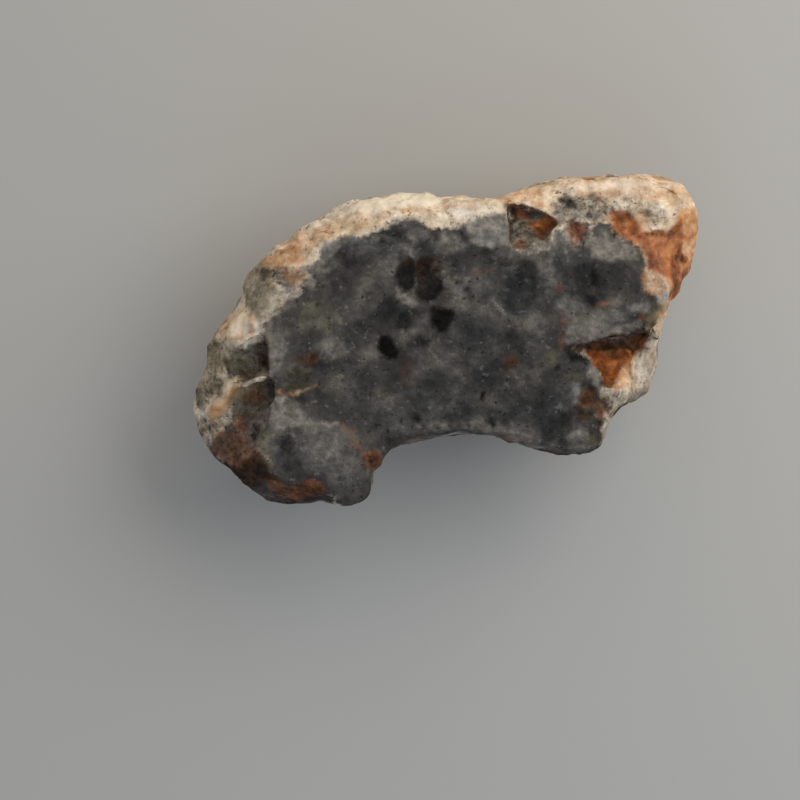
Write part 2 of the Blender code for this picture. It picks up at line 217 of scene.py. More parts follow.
# %% Hollows, in millimetres: outline of the mouth, then three floor points with their depth
HOLLOWS = {
    "upper_slope": (
        [(0.90, 2.95), (1.30, 2.62), (1.90, 2.42), (2.60, 2.42), (3.30, 2.30), (3.80, 2.02),
         (4.00, 1.60), (4.10, 1.20), (4.60, 0.90), (5.40, 1.50), (5.40, 3.70), (0.90, 3.70)],
        [(1.30, 2.62, 0.00), (4.00, 1.60, 0.00), (4.20, 3.00, 0.32)],
    ),
    "side_cavity": (
        [(2.33, -0.10), (2.71, -0.12), (3.07, -0.02), (3.37, 0.11), (3.65, 0.14), (3.95, 0.13),
         (4.45, 0.06), (4.55, -0.60), (3.51, -0.98), (3.19, -0.94), (3.11, -0.62), (2.85, -0.36)],
        [(3.25, -0.92, 0.18), (2.70, -0.20, 0.40), (3.95, 0.05, 1.00)],
    ),
    "cavity_side": (
        [(4.02, 0.10), (4.60, -0.05), (4.60, -1.10), (3.75, -1.35), (3.45, -1.00), (3.57, -0.60),
         (3.80, -0.28)],
        [(3.85, -0.26, 0.78), (3.51, -0.90, 0.22), (4.25, -0.44, 1.45)],
    ),
    "top_pit": (
        [(1.21, 2.72), (1.63, 2.64), (1.97, 2.50), (2.23, 2.36), (2.09, 2.20), (1.97, 1.88),
         (1.77, 1.92), (1.55, 1.80), (1.29, 1.86)],
        [(1.32, 2.60, 0.42), (2.15, 2.36, 0.30), (1.60, 1.80, 0.03)],
    ),
    "left_hollow": (
        [(-4.75, -0.30), (-4.20, -0.16), (-3.83, 0.06), (-3.66, 0.10), (-3.62, -0.50), (-3.66, -0.74),
         (-4.10, -0.84), (-4.65, -0.80)],
        [(-3.70, -0.30, 0.32), (-4.60, -0.40, 0.52), (-3.75, -0.70, 0.38)],
    ),
    "lower_hollow": (
        [(-4.40, -1.10), (-3.90, -0.84), (-3.56, -0.76), (-3.49, -0.90), (-3.49, -1.24),
         (-3.75, -1.30), (-4.30, -1.45)],
        [(-3.60, -0.90, 0.26), (-4.30, -1.10, 0.48), (-3.70, -1.25, 0.22)],
    ),
}
print("hollows:", ", ".join(HOLLOWS))

# %% Fractures: direction and depth of each bite, in millimetres
FRACTURES = {
    "front": ((0.10, -0.84, -0.53), 0.34),
    "back": ((-0.30, 0.72, -0.62), 0.42),
    "left": ((-0.74, 0.12, -0.66), 0.40),
    "right": ((0.72, 0.30, -0.62), 0.44),
    "front_right": ((0.62, -0.52, -0.59), 0.36),
    "front_left": ((-0.50, -0.58, -0.64), 0.40),
}
print("fractures of the belly:", ", ".join(FRACTURES))

# %% Low relief, in millimetres: outline, height, and width of its edge
RELIEF = {
    "ledge": (
        [(2.29, 0.30), (2.75, 0.56), (3.25, 0.76), (3.85, 0.84), (4.15, 0.80), (4.29, 0.56),
         (4.09, 0.28), (3.85, 0.18), (3.35, 0.06), (2.85, -0.04), (2.35, -0.06)],
        0.07, 0.07,
    ),
    "cream_ridge": (
        [(-4.90, -1.44), (-4.50, -1.06), (-4.16, -0.84), (-3.60, -0.66), (-3.60, -0.78),
         (-4.10, -0.98), (-4.42, -1.20), (-4.74, -1.50)],
        0.13, 0.08,
    ),
    "pale_lump": (
        [(-4.30, 0.06), (-3.90, 0.10), (-3.72, -0.04), (-3.90, -0.20), (-4.25, -0.20)],
        0.12, 0.10,
    ),
    "rust_knob": (
        [(-1.75, -2.24), (-1.45, -2.20), (-1.25, -2.32), (-1.35, -2.52), (-1.62, -2.56)],
        0.08, 0.08,
    ),
    "lower_shelf": (
        [(-4.50, -1.90), (-4.10, -1.70), (-3.75, -1.85), (-3.80, -2.15), (-4.20, -2.40), (-4.60, -2.25)],
        -0.14, 0.10,
    ),
    "narrow_pit": (
        [(2.43, 2.42), (2.75, 2.44), (2.73, 2.10), (2.65, 1.78), (2.51, 1.84), (2.47, 2.14)],
        -0.12, 0.08,
    ),
    "rust_facet": (
        [(3.27, 2.56), (3.49, 2.60), (3.69, 2.46), (3.85, 2.24), (3.79, 2.08), (3.55, 2.04),
         (3.37, 2.28)],
        -0.10, 0.09,
    ),
    "corner_pit_upper": (
        [(2.61, -0.94), (2.85, -0.90), (2.99, -1.00), (2.97, -1.22), (2.87, -1.36), (2.67, -1.28)],
        -0.12, 0.07,
    ),
    "corner_pit_lower": (
        [(2.57, -1.36), (2.81, -1.34), (2.89, -1.50), (2.73, -1.60), (2.57, -1.54)],
        -0.09, 0.06,
    ),
    "corner_pit_edge": (
        [(3.01, -1.28), (3.15, -1.26), (3.25, -1.40), (3.21, -1.58), (3.03, -1.54)],
        -0.10, 0.07,
    ),
    "face_dip": (
        [(-3.17, -0.24), (-2.80, -0.20), (-2.53, -0.34), (-2.55, -0.72), (-2.90, -0.86), (-3.15, -0.70)],
        -0.08, 0.20,
    ),
}
print("low relief:", ", ".join(RELIEF))

# %% [markdown]
# ## Rough body
# The body is lofted from the outline: over the shoulder in a rounded bevel, then down the
# belly in a full curve to a low keel. The blocks are cut out of it with exact Booleans.
# A voxel remesh then turns the long facets into even small ones that can carry relief, and
# a light smoothing takes away the steps of the voxels.

# %% Smooth closed curve through the stations
CURVE_STEPS = 4


def closed_curve(rows, steps):
    """A smooth closed curve through the rows, which may have any number of columns."""
    points = np.array(rows)
    before = np.roll(points, 1, axis=0)
    after = np.roll(points, -1, axis=0)
    beyond = np.roll(points, -2, axis=0)
    curve = []
    for step in range(steps):
        t = step / steps
        curve.append(
            points
            + 0.5 * t * (after - before)
            + 0.5 * t ** 2 * (2 * before - 5 * points + 4 * after - beyond)
            + 0.5 * t ** 3 * (3 * points - before - 3 * after + beyond)
        )
    return np.stack(curve, axis=1).reshape(-1, points.shape[1])


edge_rows = closed_curve(STATIONS, CURVE_STEPS)
print(f"{len(edge_rows)} points on the curve")

# %% Rings from the face to the keel
SHOULDER_STRAIGHTNESS = 0.6
SHOULDER_STEPS = 5
BELLY_FULLNESS = 2.15
BELLY_STEPS = 12
KEEL_DEPTH = 0.10
KEEL_LEFT = np.array((-1.25, -0.55))
KEEL_RIGHT = np.array((1.7, 0.6))


def stone_rings(rows):
    """Rings of points from the edge of the face, over the widest line, to the keel."""
    face_edge = rows[:, 0:2]
    widest = rows[:, 2:4]
    drop = rows[:, 4]
    rings = []
    for step in range(SHOULDER_STEPS + 1):
        t = step / SHOULDER_STEPS
        fall = SHOULDER_STRAIGHTNESS * t + (1 - SHOULDER_STRAIGHTNESS) * (1 - math.sqrt(1 - t * t))
        flat = face_edge + t * (widest - face_edge)
        rings.append(np.column_stack((flat, FACE_HEIGHT - fall * drop)))
    share = np.clip((widest[:, 0] - KEEL_LEFT[0]) / (KEEL_RIGHT[0] - KEEL_LEFT[0]), 0, 1)
    keel = KEEL_LEFT + share[:, None] * (KEEL_RIGHT - KEEL_LEFT)
    shoulder_height = FACE_HEIGHT - drop
    for step in range(1, BELLY_STEPS):
        angle = 0.5 * math.pi * step / BELLY_STEPS
        inward = math.cos(angle) ** (2 / BELLY_FULLNESS)
        down = math.sin(angle) ** (2 / BELLY_FULLNESS)
        flat = keel + inward * (widest - keel)
        rings.append(np.column_stack((flat, shoulder_height - down * (shoulder_height + KEEL_DEPTH))))
    return rings


rings = stone_rings(edge_rows)
print(f"{len(rings)} rings with {len(rings[0])} points each")

# %% Mesh through the rings


def mesh_from_rings(name, rings):
    """A closed mesh through rings of equal length, with a cap on each end."""
    mesh = bpy.data.meshes.new(name)
    shape = bmesh.new()
    loops = [[shape.verts.new(point) for point in ring] for ring in rings]
    for upper, lower in zip(loops, loops[1:]):
        for index in range(len(upper)):
            following = (index + 1) % len(upper)
            shape.faces.new((upper[index], upper[following], lower[following], lower[index]))
    shape.faces.new(loops[0])
    shape.faces.new(loops[-1])
    bmesh.ops.recalc_face_normals(shape, faces=shape.faces)
    shape.to_mesh(mesh)
    shape.free()
    return mesh


stone = bpy.data.objects.new("meteorite_stone", mesh_from_rings("meteorite_stone", rings))
bpy.context.scene.collection.objects.link(stone)
print(f"loft with {len(stone.data.polygons)} faces")

# %% Blocks for the hollows and the fractures
CUTTER_TOP = 0.5
FLOOR_SHRINK = 0.9
MOUTH_FLARE = 1.03
FRACTURE_BLOCK = 12.0


def hollow_mesh(name, mouth, floor):
    """A block with the hollow's outline, whose underside is the hollow's floor."""
    mouth = np.array(mouth)
    middle = mouth.mean(axis=0)
    shrunk = middle + FLOOR_SHRINK * (mouth - middle)
    floor = np.array(floor)
    plane = np.linalg.solve(np.column_stack((floor[:, 0:2], np.ones(3))), floor[:, 2])
    depth = shrunk @ plane[0:2] + plane[2]
    flared = middle + MOUTH_FLARE * (mouth - middle)
    top = np.column_stack((flared, np.full(len(mouth), FACE_HEIGHT + CUTTER_TOP)))
    bottom = np.column_stack((shrunk, FACE_HEIGHT - depth))
    return mesh_from_rings(name, [top, bottom])


def fracture_mesh(name, direction, bite):
    """A block whose near side is the fracture plane."""
    normal = Vector(direction).normalized()
    reach = max(float(np.max(ring @ np.array(normal))) for ring in rings)
    turn = normal.to_track_quat("Z", "Y").to_matrix().to_4x4()
    shift = Matrix.Translation(normal * (reach - bite + 0.5 * FRACTURE_BLOCK))
    mesh = bpy.data.meshes.new(name)
    shape = bmesh.new()
    bmesh.ops.create_cube(shape, size=FRACTURE_BLOCK, matrix=shift @ turn)
    shape.to_mesh(mesh)
    shape.free()
    return mesh


cutters = [hollow_mesh(name, mouth, floor) for name, (mouth, floor) in HOLLOWS.items()]
cutters += [fracture_mesh(name, direction, bite) for name, (direction, bite) in FRACTURES.items()]
print(f"{len(cutters)} blocks")

# %% Cut the stone, remesh it and smooth it
VOXEL = 0.047
VOXEL_SMOOTHING = 3


def bake(item):
    """Turn the modified shape into the object's own mesh."""
    evaluated = item.evaluated_get(bpy.context.evaluated_depsgraph_get())
    mesh = bpy.data.meshes.new_from_object(evaluated)
    item.modifiers.clear()
    item.data = mesh


cutter_objects = [bpy.data.objects.new("cutter_" + mesh.name, mesh) for mesh in cutters]
for cutter in cutter_objects:
    bpy.context.scene.collection.objects.link(cutter)
    cut = stone.modifiers.new(cutter.name, "BOOLEAN")
    cut.operation = "DIFFERENCE"
    cut.object = cutter
remesh = stone.modifiers.new("even_mesh", "REMESH")
remesh.mode = "VOXEL"
remesh.voxel_size = VOXEL
smoothing = stone.modifiers.new("voxel_steps_off", "SMOOTH")
smoothing.iterations = VOXEL_SMOOTHING
bake(stone)
for cutter in cutter_objects:
    bpy.data.objects.remove(cutter)
print(f"{len(stone.data.vertices)} points after the remesh")

# %% [markdown]
# ## Where each colour lies
# The colours follow what the stone is made of: black and grey clasts, pale feldspar
# fragments, the cream rind, and rust where iron weathered. Each is a weight from 0 to 1 on
# the points of the mesh, so one material can show them all and the weights travel with
# the model. On the broken face and the shoulder the patches are placed from the
# photograph, as outlines and ovals. An outline has its corners and a strength. An oval has
# its middle, half its width, half its height and a strength.
# A few patches are painted light, not the stone's own colour. Dark brown stands for shadow under the ledge,
# in pits and on walls that face away from the lamp. Paler cream on the left shoulder and the back rim stands
# for light falling there.

# %% Edge of the dark broken face against the rind
FACE_OUTLINE = [
    (262, 335), (265, 322), (275, 312), (288, 303), (300, 292), (308, 278), (312, 268),
    (318, 256), (328, 243), (340, 238), (352, 234), (365, 232), (375, 228), (388, 224),
    (400, 223), (412, 220), (428, 226), (440, 228), (455, 228), (468, 222), (480, 218),
    (495, 213), (505, 212), (508, 215), (512, 252), (548, 250), (560, 228), (570, 240),
    (585, 248), (590, 228), (600, 222), (610, 226), (620, 238), (634, 242), (643, 250),
    (646, 262), (645, 275), (649, 286), (657, 296), (662, 308), (656, 322), (642, 331),
    (615, 337), (590, 342), (576, 347), (589, 356), (597, 364), (603, 372),
    (607, 386), (600, 400), (605, 430), (602, 458), (540, 470), (344, 515), (332, 498),
    (325, 488), (318, 483), (300, 482), (285, 478), (272, 468), (268, 458), (262, 450),
    (260, 440), (263, 430), (265, 419), (266, 409), (266, 390), (263, 372), (262, 345),
]
print(f"the edge of the face has {len(FACE_OUTLINE)} corners")

# %% Clasts of the broken face, and where its grey has a blue cast
BLACK_CLASTS = [
    ([(399, 262), (405, 257), (412, 260), (415, 268), (417, 278), (416, 288), (410, 293), (402, 293),
      (396, 288), (394, 276), (395, 267)], 0.88),
    ([(431, 312), (440, 309), (452, 309), (456, 315), (452, 324), (446, 331), (441, 332),
      (435, 325)], 1.0),
    ([(377, 337), (386, 335), (393, 339), (395, 346), (397, 353), (391, 358), (381, 358),
      (375, 350)], 1.0),
    ([(414, 342), (420, 337), (430, 336), (434, 341), (428, 347), (418, 349)], 0.8),
    ([(415, 262), (422, 256), (430, 257), (434, 263), (434, 271), (440, 275), (446, 278), (447, 285),
      (444, 294), (438, 301), (428, 304), (420, 301), (417, 293), (417, 283), (414, 272)], 0.8),
    ([(565, 350), (573, 353), (585, 352), (588, 358), (583, 363), (572, 363)], 0.85),
    ([(590, 268), (597, 270), (603, 280), (600, 286), (594, 282)], 0.85),
    ([(290, 432), (295, 438), (294, 448), (290, 455), (283, 447), (284, 440)], 0.6),
    ([(394, 318), (400, 311), (408, 312), (411, 320), (408, 328), (400, 330), (395, 325)], 0.6),
    ([(559, 410), (568, 412), (569, 425), (561, 431), (558, 420)], 0.6),
]
GREY_CLASTS = [
    ([(475, 256), (485, 250), (497, 252), (500, 260), (494, 266), (482, 266)], 0.45),
    ([(500, 257), (509, 255), (513, 262), (510, 268), (502, 267)], 0.55),
    ([(516, 262), (526, 260), (536, 263), (539, 272), (536, 280), (524, 282), (516, 276)], 0.5),
    ([(490, 283), (500, 278), (515, 276), (530, 272), (540, 279), (543, 290), (536, 299), (528, 307),
      (518, 314), (510, 309), (500, 300), (491, 294)], 0.24),
    ([(568, 268), (582, 262), (600, 262), (620, 262), (633, 272), (643, 284), (638, 292), (622, 296),
      (604, 300), (590, 306), (576, 302), (566, 292), (562, 280)], 0.38),
    ([(378, 298), (386, 294), (396, 300), (398, 310), (390, 314), (380, 312)], 0.4),
    ([(396, 230), (406, 229), (409, 242), (401, 245), (396, 240)], 0.5),
    ([(428, 231), (436, 232), (446, 246), (444, 251), (436, 246)], 0.4),
    ([(322, 262), (340, 248), (360, 246), (380, 258), (384, 275), (372, 282), (355, 274),
      (340, 270)], 0.3),
    ([(503, 338), (510, 329), (522, 326), (527, 333), (525, 352), (515, 356), (507, 348)], 0.35),
    ([(566, 372), (575, 368), (585, 374), (590, 384), (580, 386), (570, 380)], 0.35),
    ([(482, 402), (496, 401), (497, 412), (492, 418), (484, 414)], 0.4),
    ([(519, 388), (526, 398), (540, 399), (549, 405), (540, 412), (527, 410), (518, 400)], 0.45),
    ([(540, 424), (556, 421), (566, 428), (562, 438), (545, 439)], 0.4),
    ([(290, 372), (296, 368), (305, 371), (312, 370), (311, 378), (305, 386), (297, 390), (288, 388),
      (284, 380)], 0.58),
    ([(643, 299), (653, 295), (666, 298), (664, 306), (653, 311), (645, 307)], 0.3),
    ([(636, 248), (644, 252), (643, 264), (637, 260)], 0.35),
]
DARK_OVALS = [
    (483, 394, 4, 5.5, 1), (494, 422, 5, 3.5, 0.9), (417, 420, 3.5, 4, 0.9), (590, 299, 5, 6.5, 0.85),
    (626, 288, 13, 7, 0.36), (600, 283, 10, 8, 0.4), (558, 367, 3, 2.5, 0.9), (595, 237, 6, 2, 0.7),
    (521, 268, 4, 4.5, 0.6), (532, 266, 5, 4, 0.55), (418, 311, 7, 6, 0.4), (395, 232, 6, 5, 0.35),
    (384, 240, 4, 3.5, 0.8), (381, 251, 4, 5, 0.4), (345, 252, 8, 7, 0.35), (345, 263, 12, 6, 0.35),
    (360, 262, 10, 8, 0.3), (374, 270, 8, 6, 0.35), (326, 267, 6, 4, 0.6), (331, 271, 5, 3, 0.4),
    (320, 288, 5, 4, 0.6), (319, 309, 3.5, 3.5, 0.7), (292, 324, 6, 5, 0.45), (360, 323, 5, 4, 0.4),
    (336, 290, 6, 8, 0.3), (305, 282, 3.5, 3.5, 0.5), (272, 311, 4, 2.5, 0.6), (288, 303, 8, 4, 0.3),
    (447, 295, 4, 7, 0.35), (458, 281, 4, 3, 0.55), (452, 276, 2.5, 3, 0.6), (468, 291, 2.5, 2.5, 0.8),
    (462, 236, 8, 6, 0.45), (503, 352, 3, 4, 0.4), (531, 368, 2.5, 3.5, 0.5), (550, 357, 6, 5, 0.35),
    (483, 378, 3.5, 3.5, 0.5), (447, 397, 5, 6, 0.3), (450, 411, 7, 5, 0.35), (478, 408, 10, 6, 0.25),
    (505, 424, 4, 4, 0.4), (437, 429, 3, 2.5, 0.7), (566, 442, 8, 4, 0.45), (447, 348, 5, 7, 0.35),
    (456, 343, 5, 4, 0.35), (475, 350, 6, 7, 0.3), (473, 373, 7, 8, 0.25), (427, 365, 5, 2.5, 0.5),
    (400, 358, 5, 6, 0.3), (318, 395, 4.5, 4, 0.5), (290, 402, 5, 4, 0.45), (301, 400, 5, 4, 0.4),
    (285, 465, 5, 5, 0.35), (296, 462, 3.5, 4, 0.35), (321, 455, 4, 5, 0.3), (340, 478, 3.5, 3.5, 0.6),
    (366, 480, 3.5, 3.5, 0.5), (345, 498, 4, 2.5, 0.4), (374, 427, 5, 4, 0.35), (400, 436, 3.5, 4, 0.4),
    (408, 437, 3.5, 3, 0.35), (392, 443, 3.5, 2.5, 0.3), (374, 446, 3.5, 5, 0.4),
    (331, 441, 2.5, 2.5, 0.35), (325, 363, 6, 3, 0.5), (291, 340, 4, 4, 0.3), (543, 255, 3, 4, 0.4),
    (530, 420, 14, 9, 0.3), (565, 430, 9, 6, 0.4), (568, 202, 9, 8, 0.85), (555, 203, 4, 3, 0.45),
    (594, 195, 5, 3, 0.55), (600, 200, 4, 3, 0.5), (648, 213, 5, 3.5, 0.6), (628, 195, 4, 3, 0.4),
    (650, 190, 4, 3, 0.4), (681, 200, 3, 5, 0.45), (655, 221, 9, 3, 0.35), (632, 213, 4, 3, 0.4),
    (370, 290, 24, 16, 0.28), (430, 342, 36, 20, 0.34), (458, 372, 20, 24, 0.36),
    (505, 382, 34, 36, 0.3), (488, 400, 26, 14, 0.4), (330, 316, 16, 16, 0.3), (300, 318, 14, 10, 0.2),
    (440, 296, 16, 10, 0.25), (405, 362, 10, 8, 0.25), (262, 278, 8, 5, 0.3), (290, 280, 12, 12, 0.3),
    (541, 233, 12, 9, 0.25), (574, 218, 8, 7, 0.25), (248, 412, 14, 8, 0.4), (500, 350, 24, 12, 0.26),
    (475, 395, 26, 20, 0.28), (530, 400, 24, 18, 0.28), (440, 380, 24, 18, 0.18),
    (586, 412, 7, 6, 0.45),
]
BLUE_PATCHES = [
    ([(300, 430), (330, 430), (352, 445), (362, 470), (350, 498), (320, 480), (298, 460)], 0.35),
    ([(570, 385), (582, 384), (582, 430), (572, 430)], 0.6),
    ([(560, 196), (600, 196), (604, 212), (590, 220), (570, 216), (560, 208)], 0.5),
    ([(320, 244), (350, 238), (400, 228), (445, 232), (440, 255), (380, 262), (330, 262)], 0.4),
    ([(486, 276), (545, 272), (545, 300), (518, 318), (488, 300)], 0.5),
    ([(590, 262), (645, 262), (645, 298), (600, 302)], 0.35),
    ([(640, 296), (668, 296), (664, 312), (645, 310)], 0.5),
    ([(600, 305), (640, 300), (648, 318), (610, 322)], 0.4),
    ([(500, 385), (570, 390), (575, 445), (500, 430)], 0.4),
    ([(440, 330), (500, 330), (500, 420), (440, 420)], 0.3),
    ([(340, 360), (440, 360), (440, 430), (360, 430)], 0.25),
    ([(455, 225), (506, 225), (506, 300), (455, 300)], 0.3),
    ([(545, 250), (590, 250), (590, 310), (545, 310)], 0.35),
    ([(652, 335), (670, 330), (666, 380), (640, 402), (626, 398), (642, 374)], 0.4),
]
print(len(BLACK_CLASTS), "black and", len(GREY_CLASTS), "grey clasts,", len(DARK_OVALS), "dark ovals")

# %% Pale fragments of the face, and bright patches of the rind, two of them partly painted light
PALE_PATCHES_AND_PAINTED_LIGHT = [
    ([(466, 224), (480, 217), (496, 213), (507, 214), (508, 248), (495, 250), (478, 244),
      (466, 238)], 0.6),
    ([(586, 240), (600, 232), (620, 240), (636, 246), (641, 258), (628, 262), (604, 259),
      (588, 256)], 0.38),
    ([(550, 228), (568, 222), (570, 245), (556, 252), (548, 248)], 0.45),
    ([(270, 398), (285, 395), (300, 408), (312, 420), (300, 426), (280, 430), (268, 420)], 0.45),
    ([(266, 345), (276, 342), (282, 352), (280, 372), (270, 378), (266, 362)], 0.32),
    ([(393, 288), (400, 296), (412, 296), (418, 300), (410, 305), (398, 302)], 0.5),
    ([(315, 250), (335, 238), (345, 244), (330, 258), (318, 268)], 0.4),
    ([(306, 266), (314, 276), (310, 290), (304, 284)], 0.5),
    ([(570, 385), (580, 384), (580, 400), (572, 402)], 0.35),
    ([(565, 325), (590, 322), (615, 325), (640, 322), (640, 330), (616, 336), (590, 342),
      (566, 344)], 0.28),
    ([(590, 365), (603, 372), (603, 384), (597, 392), (588, 378)], 0.45),
    ([(597, 388), (612, 387), (614, 400), (600, 402)], 0.4),
    ([(300, 410), (308, 418), (320, 423), (335, 422), (335, 427), (318, 428), (304, 422)], 0.45),
    ([(490, 298), (497, 303), (503, 310), (502, 314), (495, 308)], 0.5),
    ([(408, 240), (412, 242), (412, 258), (408, 258)], 0.5),
    ([(655, 296), (665, 298), (664, 305), (656, 304)], 0.7),
    ([(603, 418), (609, 418), (608, 428), (603, 430)], 0.4),
    ([(234, 339), (250, 338), (256, 342), (248, 347), (238, 346)], 0.35),
    # partly real cream rind, partly painted light: paler than the rind to stand in for light that this
    # slope, turned from the key lamp, lacks
    ([(218, 336), (229, 320), (245, 314), (252, 320), (246, 333)], 0.78),
    ([(267, 371), (254, 377), (241, 382), (236, 388), (243, 389), (255, 384), (268, 378)], 0.6),
    # partly real cream rind, partly painted light: the back rim is made paler for the light that falls on it
    # from above
    ([(345, 212), (366, 200), (400, 194), (446, 193), (456, 201), (410, 210), (368, 218)], 0.8),
    ([(475, 212), (486, 206), (500, 207), (506, 214), (496, 213), (480, 217)], 0.55),
    ([(570, 184), (620, 178), (665, 180), (680, 186), (660, 188), (610, 188), (580, 192)], 0.4),
    ([(280, 300), (290, 285), (300, 290), (296, 305), (284, 312)], 0.3),
]
PALE_OVALS = [
    (365, 237, 26, 6, 0.35), (420, 235, 20, 7, 0.4), (566, 250, 14, 8, 0.3), (268, 330, 7, 18, 0.3),
    (448, 243, 22, 13, 0.4), (405, 245, 13, 12, 0.32), (318, 266, 22, 9, 0.36),
    (365, 250, 22, 10, 0.22), (568, 304, 20, 9, 0.22), (638, 307, 13, 8, 0.42), (612, 314, 22, 7, 0.2),
    (352, 395, 22, 16, 0.1), (316, 428, 16, 12, 0.32), (546, 272, 12, 40, 0.24),
    (550, 250, 13, 10, 0.25), (490, 429, 32, 9, 0.28), (576, 432, 9, 11, 0.36), (438, 428, 14, 9, 0.22),
    (334, 350, 18, 11, 0.25), (520, 441, 14, 6, 0.25), (268, 305, 12, 16, 0.3),
    (385, 400, 22, 14, 0.15), (651, 368, 7, 12, 0.35), (656, 340, 6, 10, 0.4), (630, 381, 8, 6, 0.2),
    (326, 455, 30, 24, 0.34), (340, 470, 20, 18, 0.18), (312, 440, 18, 12, 0.15),
    (536, 325, 22, 14, 0.16),
]
print(len(PALE_PATCHES_AND_PAINTED_LIGHT), "pale outlines and", len(PALE_OVALS), "pale ovals")

# %% [markdown]
# ## Stains, and painted shadow
# Iron in the stone rusted and crept along cracks and into the pores of the rind. Fresh
# stain is rust red, thin stain is ochre, and old stain is brown. Some of the brown is
# painted shadow instead: under the ledge, on the upper wall of the top pit, on the cliff and
# in the hollow at the left end, and on the steep walls at the lower left. Olive may come
# from olivine as it weathers. Grey zones are places without rind. Each kind has a table of
# its own, so that it can be given its own colour and grain.

# %% Rust and ochre
RUST_STAINS = [
    ([(608, 210), (622, 207), (632, 212), (640, 222), (648, 230), (648, 242), (634, 243), (620, 236),
      (610, 226)], 0.85),
    ([(634, 232), (650, 229), (668, 230), (676, 222), (682, 214), (687, 216), (686, 230), (688, 246),
      (692, 262), (688, 284), (674, 306), (667, 298), (666, 284), (660, 276), (650, 272), (645, 256),
      (640, 244)], 0.93),
    ([(583, 346), (600, 344), (625, 343), (652, 330), (652, 344), (641, 354), (632, 361), (623, 369),
      (618, 380), (608, 387), (603, 380), (600, 372), (592, 360)], 1.0),
    ([(530, 222), (545, 216), (556, 222), (551, 232), (545, 240), (536, 236)], 0.95),
    ([(515, 205), (530, 210), (532, 218), (520, 222), (513, 216)], 0.7),
    ([(568, 220), (583, 222), (586, 230), (580, 238), (573, 243), (568, 234)], 0.55),
    ([(268, 472), (290, 481), (320, 482), (324, 491), (310, 497), (285, 496), (270, 488)], 0.45),
    ([(213, 438), (228, 430), (246, 438), (260, 446), (258, 460), (240, 466), (220, 458)], 0.35),
    ([(292, 356), (300, 352), (314, 354), (322, 360), (310, 365), (296, 363)], 0.12),
    ([(336, 423), (346, 425), (354, 431), (360, 441), (366, 452), (361, 453), (354, 441), (349, 433),
      (338, 428)], 0.28),
    ([(362, 458), (370, 452), (380, 452), (386, 458), (383, 464), (376, 469), (368, 466)], 0.5),
    ([(416, 263), (426, 262), (430, 272), (424, 280), (417, 276)], 0.4),
    ([(495, 436), (520, 441), (540, 448), (538, 452), (518, 446)], 0.35),
    ([(240, 386), (256, 382), (262, 392), (252, 400), (242, 396)], 0.5),
    ([(398, 360), (412, 362), (418, 378), (410, 388), (402, 384)], 0.08),
]
RUST_OVALS = [
    (510, 361, 10, 7, 0.15), (523, 243, 6, 7, 0.45), (239, 427, 8, 9, 0.45), (219, 437, 6, 5, 0.5),
    (690, 236, 7, 9, 0.5), (694, 218, 5, 6, 0.35), (691, 256, 6, 6, 0.5), (587, 398, 9, 10, 0.5),
    (602, 410, 8, 10, 0.4), (558, 286, 3.5, 3.5, 0.5), (480, 275, 10, 5, 0.18), (562, 332, 3, 14, 0.25),
    (604, 303, 8, 2.5, 0.4), (641, 318, 4, 4, 0.35), (405, 263, 4, 4, 0.3),
]
OCHRE_STAINS = [
    ([(266, 272), (273, 261), (287, 246), (300, 238), (306, 246), (303, 262), (290, 264),
      (278, 268)], 0.8),
    ([(478, 200), (500, 190), (520, 187), (545, 186), (545, 198), (520, 202), (500, 203)], 0.5),
    ([(528, 196), (542, 194), (545, 206), (532, 207)], 0.5),
    ([(273, 386), (280, 391), (288, 393), (296, 390), (305, 389), (314, 387), (304, 391), (290, 395),
      (278, 393)], 0.6),
    ([(658, 300), (668, 300), (674, 306), (664, 322), (656, 324)], 0.7),
    ([(682, 206), (700, 206), (704, 232), (700, 262), (692, 262), (684, 236)], 0.85),
    ([(206, 412), (222, 396), (240, 384), (256, 375), (266, 374), (262, 382), (240, 396), (222, 410),
      (210, 420)], 0.75),
    ([(214, 338), (226, 320), (240, 313), (254, 315), (254, 332), (236, 338)], 0.8),
    ([(330, 225), (360, 215), (395, 212), (398, 218), (362, 226), (335, 236)], 0.25),
    ([(296, 240), (312, 231), (332, 227), (334, 239), (308, 253)], 0.45),
    ([(545, 184), (590, 179), (640, 176), (692, 188), (692, 200), (650, 184), (600, 188)], 0.35),
    ([(402, 212), (440, 205), (475, 205), (478, 210), (440, 212), (404, 218)], 0.3),
    ([(284, 264), (306, 262), (308, 276), (296, 290), (284, 280)], 0.4),
    ([(570, 176), (620, 172), (680, 174), (698, 190), (694, 206), (660, 202), (610, 196),
      (575, 196)], 0.4),
    ([(641, 268), (656, 272), (670, 286), (668, 300), (652, 296), (640, 286)], 0.45),
    ([(632, 216), (642, 214), (650, 222), (650, 232), (640, 226)], 0.6),
    ([(646, 320), (668, 300), (676, 330), (666, 370), (640, 400), (634, 392), (655, 350)], 0.2),
    ([(622, 366), (636, 354), (648, 346), (642, 364), (632, 378), (622, 389), (612, 391),
      (618, 378)], 0.75),
    ([(664, 292), (676, 292), (674, 306), (664, 308)], 0.6),
]
print(len(RUST_STAINS + RUST_OVALS), "rust and", len(OCHRE_STAINS), "ochre patches")

